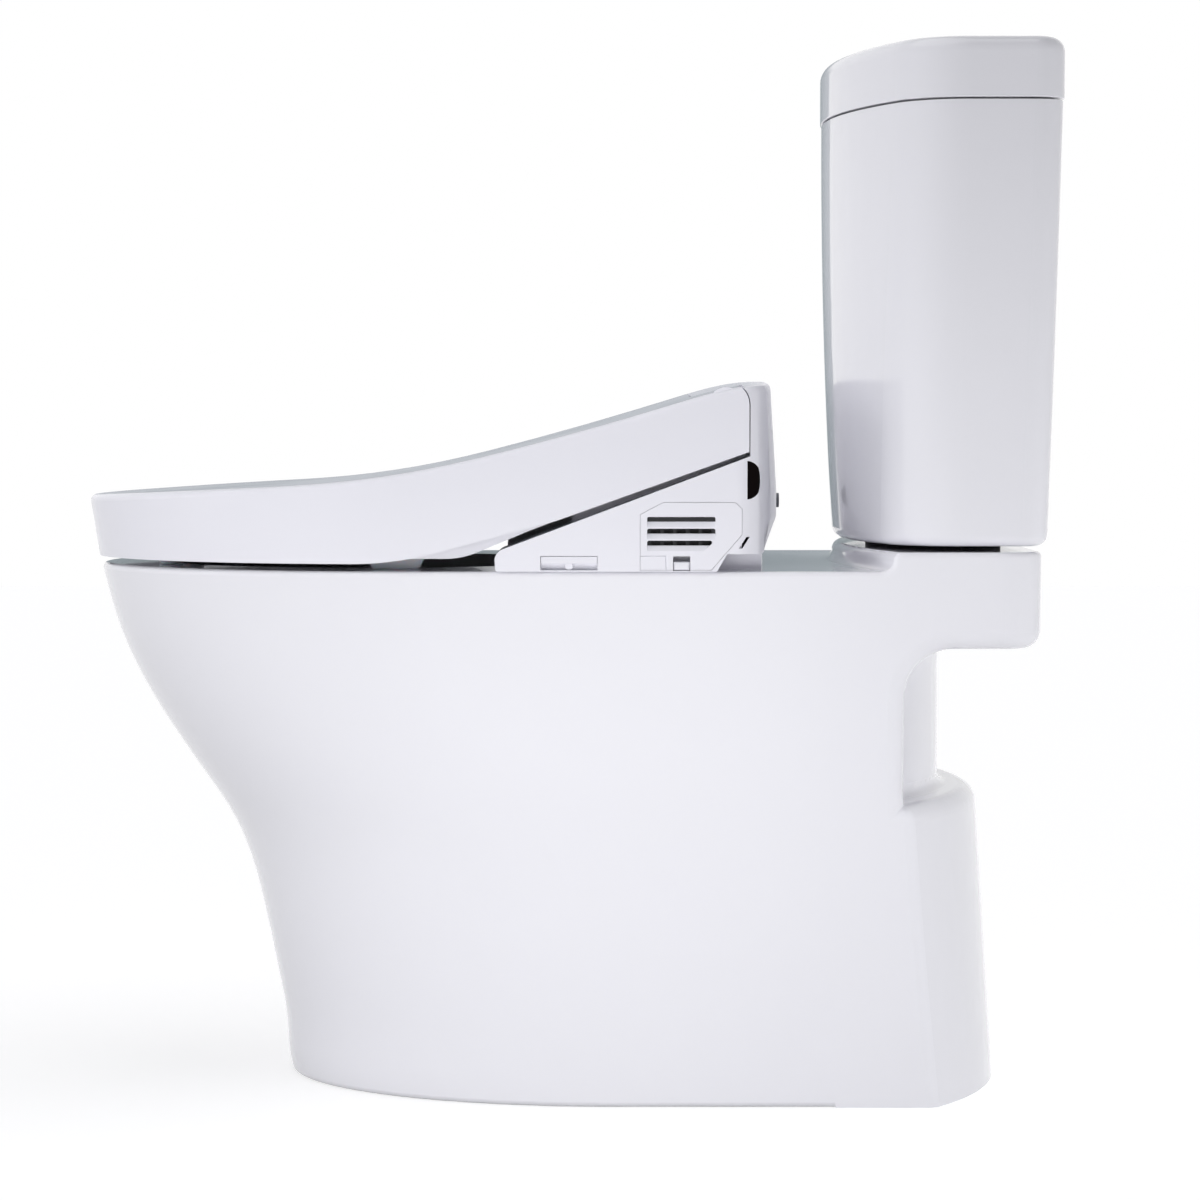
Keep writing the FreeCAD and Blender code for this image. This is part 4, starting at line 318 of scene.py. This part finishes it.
def dress_nodes():
    finishes = {
        "vitreous_china": glazed_china(), "seat_plastic": seat_plastic(), "unit_plastic": unit_plastic(),
        "clear_rubber": milky_rubber(), "black_rubber": black_rubber(), "chrome_plate": chrome_plate(),
        "brass": plain_brass(), "steel": brushed_steel(), "white_acetal": acetal(),
        "grey_plastic": grey_plastic(), "black_plastic": window_black(), "filter_foam": filter_foam(),
        "green_board": circuit_board(),
    }
    for name, slot in SLOT_OF.items():
        nodes[name].data.materials.clear()
        nodes[name].data.materials.append(finishes[slot])


# Copies of nodes with a finer form

def mesh_copy(name, suffix):
    piece = nodes[name].copy()
    piece.data = nodes[name].data.copy()
    piece.name = name + suffix
    piece.parent = None
    bpy.context.scene.collection.objects.link(piece)
    return piece


CORNER_X = UNIT_HALF - UNIT_CORNER
CORNER_Y = UNIT_BACK - UNIT_CORNER
SWEEP_FROM = UNIT_BACK - SWEEP_DEPTH
SWEEP_SIDE = CORNER_X + math.sqrt(UNIT_CORNER ** 2 - (SWEEP_FROM - CORNER_Y) ** 2)


def plain_depth(x):
    """How far the unit reaches behind the start of the sweep, with a plain round corner."""
    across = max(x - CORNER_X, 0.0)
    return CORNER_Y + math.sqrt(max(UNIT_CORNER ** 2 - across ** 2, 0.0)) - SWEEP_FROM


def swept_depth(x):
    """The same on the long sweep, a quarter of an ellipse."""
    along = min((x - SWEEP_MIDDLE) / (SWEEP_SIDE - SWEEP_MIDDLE), 1.0)
    return SWEEP_DEPTH * math.sqrt(1.0 - along ** 2)


def sweep_corners(piece):
    """Cut the merged mesh into strips across the rear wall and draw them in to the sweep."""
    step = (SWEEP_SIDE - SWEEP_MIDDLE) / SWEEP_CUTS
    bpy.ops.object.mode_set(mode="EDIT")
    for cut in range(SWEEP_CUTS):
        for side in (-1, 1):
            bpy.ops.mesh.select_all(action="SELECT")
            bpy.ops.mesh.bisect(plane_co=(side * (SWEEP_MIDDLE + cut * step), 0, 0), plane_no=(1, 0, 0))
    bpy.ops.object.mode_set(mode="OBJECT")
    for vertex in piece.data.vertices:
        x = abs(vertex.co.x)
        behind = vertex.co.y - SWEEP_FROM
        if behind > 0 and SWEEP_MIDDLE < x < SWEEP_SIDE:
            vertex.co.y = SWEEP_FROM + behind * min(swept_depth(x) / plain_depth(x), 1.0)


def softened(name):
    """A copy with merged faces, rounded edges and, on the swept pieces, the long rear corners."""
    bpy.ops.object.select_all(action="DESELECT")
    piece = mesh_copy(name, "_rounded")
    bpy.context.view_layer.objects.active = piece
    piece.select_set(True)
    bpy.ops.object.mode_set(mode="EDIT")
    bpy.ops.mesh.select_all(action="SELECT")
    bpy.ops.mesh.remove_doubles(threshold=MERGE)
    bpy.ops.mesh.dissolve_limited(angle_limit=FLAT_ANGLE)
    bpy.ops.object.mode_set(mode="OBJECT")
    if name in SWEPT_PIECES:
        sweep_corners(piece)
    bpy.ops.object.shade_smooth_by_angle(angle=EDGE_ANGLE)
    bpy.ops.object.modifier_add(type="BEVEL")
    bevel = piece.modifiers[-1]
    bevel.width = EDGE_ROUND
    bevel.segments = EDGE_STEPS
    bevel.limit_method = "ANGLE"
    bevel.angle_limit = EDGE_ANGLE
    bpy.ops.object.modifier_apply(modifier=bevel.name)
    bpy.ops.object.modifier_add(type="WEIGHTED_NORMAL")
    shading = piece.modifiers[-1]
    shading.keep_sharp = True
    bpy.ops.object.modifier_apply(modifier=shading.name)
    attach(piece, BODY_OF[name])
    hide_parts(name)


def open_seam(name):
    """A copy of the lid whose lower edge stands off the tank, as on a lid that rests on pads."""
    piece = mesh_copy(name, "_seamed")
    for vertex in piece.data.vertices:
        above = vertex.co.z - TANK_TOP
        if 0 < above < LID_BAND:
            vertex.co.z += LID_RISE * (1 - above / LID_BAND)
    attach(piece, BODY_OF[name])
    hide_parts(name)
    return piece


# Studio

def shown_to(tree, *labels):
    """A mask of the rays that see a surface in these ways."""
    path = tree.nodes.new("ShaderNodeLightPath")
    mask = path.outputs[labels[0]]
    for label in labels[1:]:
        either = tree.nodes.new("ShaderNodeMath")
        either.operation = "MAXIMUM"
        tree.links.new(mask, either.inputs[0])
        tree.links.new(path.outputs[label], either.inputs[1])
        mask = either.outputs["Value"]
    return mask


SEEN_BY = ("Is Camera Ray", "Is Glossy Ray", "Is Transmission Ray")


def studio_floor():
    bpy.ops.object.select_all(action="DESELECT")
    bpy.ops.mesh.primitive_plane_add(size=FLOOR_SIZE, location=(0, 0, 0))
    floor = bpy.context.object
    floor.name = "studio_floor"
    material = bpy.data.materials.new("studio_floor")
    material.use_nodes = True
    tree = material.node_tree
    shader = tree.nodes["Principled BSDF"]
    shader.inputs["Base Color"].default_value = FLOOR_TONE
    shader.inputs["Roughness"].default_value = FLOOR_ROUGHNESS
    shaded = tree.nodes.new("ShaderNodeBsdfDiffuse")
    shaded.inputs["Color"].default_value = (FLOOR_SHOWN, FLOOR_SHOWN, FLOOR_SHOWN, 1)
    white = tree.nodes.new("ShaderNodeEmission")
    white.inputs["Color"].default_value = WHITE
    white.inputs["Strength"].default_value = FLOOR_WHITE
    both = tree.nodes.new("ShaderNodeAddShader")
    mix = tree.nodes.new("ShaderNodeMixShader")
    tree.links.new(shaded.outputs["BSDF"], both.inputs[0])
    tree.links.new(white.outputs["Emission"], both.inputs[1])
    tree.links.new(shown_to(tree, *SEEN_BY), mix.inputs["Fac"])
    tree.links.new(shader.outputs["BSDF"], mix.inputs[1])
    tree.links.new(both.outputs["Shader"], mix.inputs[2])
    tree.links.new(mix.outputs["Shader"], tree.nodes["Material Output"].inputs["Surface"])
    floor.data.materials.append(material)
    return floor


def floor_shadow(floor):
    """A broad sun on the floor alone, which keeps the toilet's soft shadow there."""
    data = bpy.data.lights.new("shadow_sun", "SUN")
    data.angle = SUN_ANGLE
    data.energy = SUN_STRENGTH
    sun = bpy.data.objects.new("shadow_sun", data)
    bpy.context.scene.collection.objects.link(sun)
    sun.rotation_euler = Vector(SUN_FALL).to_track_quat("-Z", "Y").to_euler()
    only = bpy.data.collections.new("floor_only")
    only.objects.link(floor)
    sun.light_linking.receiver_collection = only


def lit_group(name, pieces):
    """The pieces that a lamp shines on. The floor is left to the sky and its own sun."""
    group = bpy.data.collections.new(name)
    for piece in pieces:
        group.objects.link(piece)
    return group


def soft_box(name, place, aim, size, power, pieces, mirrored=False):
    data = bpy.data.lights.new(name, "AREA")
    data.shape = "RECTANGLE"
    data.size, data.size_y = size
    data.energy = power
    lamp = bpy.data.objects.new(name, data)
    bpy.context.scene.collection.objects.link(lamp)
    lamp.location = place
    lamp.rotation_euler = (Vector(aim) - Vector(place)).to_track_quat("-Z", "Y").to_euler()
    lamp.visible_camera = False
    lamp.visible_glossy = mirrored
    lamp.light_linking.receiver_collection = pieces


def grey_card(name, place, turn, size):
    """A dull card beyond the set that turns white upwards, seen only in the gloss of the glaze."""
    bpy.ops.object.select_all(action="DESELECT")
    bpy.ops.mesh.primitive_plane_add(size=1, location=place, rotation=turn)
    card = bpy.context.object
    card.name = name
    card.scale = (size[0], size[1], 1)
    material = bpy.data.materials.new(name)
    material.use_nodes = True
    tree = material.node_tree
    glow = tree.nodes.new("ShaderNodeEmission")
    across = tree.nodes.new("ShaderNodeTexCoord")
    split = tree.nodes.new("ShaderNodeSeparateXYZ")
    fade = tree.nodes.new("ShaderNodeMapRange")
    fade.interpolation_type = "SMOOTHSTEP"
    fade.inputs["From Min"].default_value = CARD_FADE[0]
    fade.inputs["From Max"].default_value = CARD_FADE[1]
    tone = tree.nodes.new("ShaderNodeMix")
    tone.data_type = "RGBA"
    tone.inputs["A"].default_value = CARD_TONE
    tone.inputs["B"].default_value = WHITE
    tree.links.new(across.outputs["Generated"], split.inputs["Vector"])
    tree.links.new(split.outputs["Y"], fade.inputs["Value"])
    tree.links.new(fade.outputs["Result"], tone.inputs["Factor"])
    tree.links.new(tone.outputs["Result"], glow.inputs["Color"])
    tree.links.new(glow.outputs["Emission"], tree.nodes["Material Output"].inputs["Surface"])
    card.data.materials.append(material)
    card.visible_camera = False
    card.visible_diffuse = False
    card.visible_shadow = False
    card.visible_transmission = False


def studio_light(lid):
    meshes = [piece for piece in bpy.context.scene.objects if piece.type == "MESH"]
    pieces = lit_group("lit_pieces", [piece for piece in meshes if piece.name != "studio_floor"])
    glazed = [nodes[name] for name, slot in SLOT_OF.items() if slot == "vitreous_china"]
    china = lit_group("lit_china", glazed + [lid])
    tank = lit_group("lit_tank", [nodes["tank"], lid])
    others = [piece for piece in pieces.objects if piece not in tank.objects[:]]
    before_tank = lit_group("lit_before_tank", others)
    soft_box("key_box", KEY_PLACE, KEY_AIM, KEY_SIZE, KEY_POWER, pieces)
    soft_box("front_box", FRONT_PLACE, FRONT_AIM, FRONT_SIZE, FRONT_POWER, before_tank)
    soft_box("tank_box", FRONT_PLACE, FRONT_AIM, FRONT_SIZE, TANK_POWER, tank)
    soft_box("side_box", SIDE_PLACE, SIDE_AIM, SIDE_SIZE, SIDE_POWER, china)
    soft_box("top_box", TOP_PLACE, MIDDLE, TOP_SIZE, TOP_POWER, pieces, mirrored=True)
    soft_box("back_box", BACK_PLACE, MIDDLE, BACK_SIZE, BACK_POWER, pieces)
    grey_card("far_card", CARD_PLACE, CARD_TURN, CARD_SIZE)
    world = bpy.data.worlds.new("studio")
    bpy.context.scene.world = world
    world.use_nodes = True
    tree = world.node_tree
    light = tree.nodes["Background"]
    light.inputs["Color"].default_value = WORLD_TINT
    place = tree.nodes.new("ShaderNodeTexCoord")
    split = tree.nodes.new("ShaderNodeSeparateXYZ")
    fall = tree.nodes.new("ShaderNodeMapRange")
    fall.inputs["From Min"].default_value = -1.0
    fall.inputs["From Max"].default_value = 1.0
    fall.inputs["To Min"].default_value = WORLD_FRONT
    fall.inputs["To Max"].default_value = WORLD_WALL
    tree.links.new(place.outputs["Generated"], split.inputs["Vector"])
    tree.links.new(split.outputs["Y"], fall.inputs["Value"])
    tree.links.new(fall.outputs["Result"], light.inputs["Strength"])
    white = tree.nodes.new("ShaderNodeBackground")
    white.inputs["Color"].default_value = WHITE
    mix = tree.nodes.new("ShaderNodeMixShader")
    tree.links.new(shown_to(tree, *SEEN_BY), mix.inputs["Fac"])
    tree.links.new(light.outputs["Background"], mix.inputs[1])
    tree.links.new(white.outputs["Background"], mix.inputs[2])
    tree.links.new(mix.outputs["Shader"], tree.nodes["World Output"].inputs["Surface"])


def photo_camera():
    data = bpy.data.cameras.new("photo_camera")
    data.sensor_width = SENSOR
    data.lens = SENSOR * FOCAL_PIXELS / IMAGE
    camera = bpy.data.objects.new("photo_camera", data)
    bpy.context.scene.collection.objects.link(camera)
    camera.location = (CAMERA_X, CAMERA_Y, CAMERA_Z)
    tilt = math.atan((IMAGE / 2 - HORIZON_ROW) / FOCAL_PIXELS)
    camera.rotation_euler = (math.pi / 2 - tilt, 0, math.pi / 2)
    bpy.context.scene.camera = camera


dress_nodes()
for node in SOFT_PIECES:
    softened(node)
lid = open_seam("tank_lid")
floor_shadow(studio_floor())
studio_light(lid)
photo_camera()
bpy.context.scene.view_settings.view_transform = "Standard"
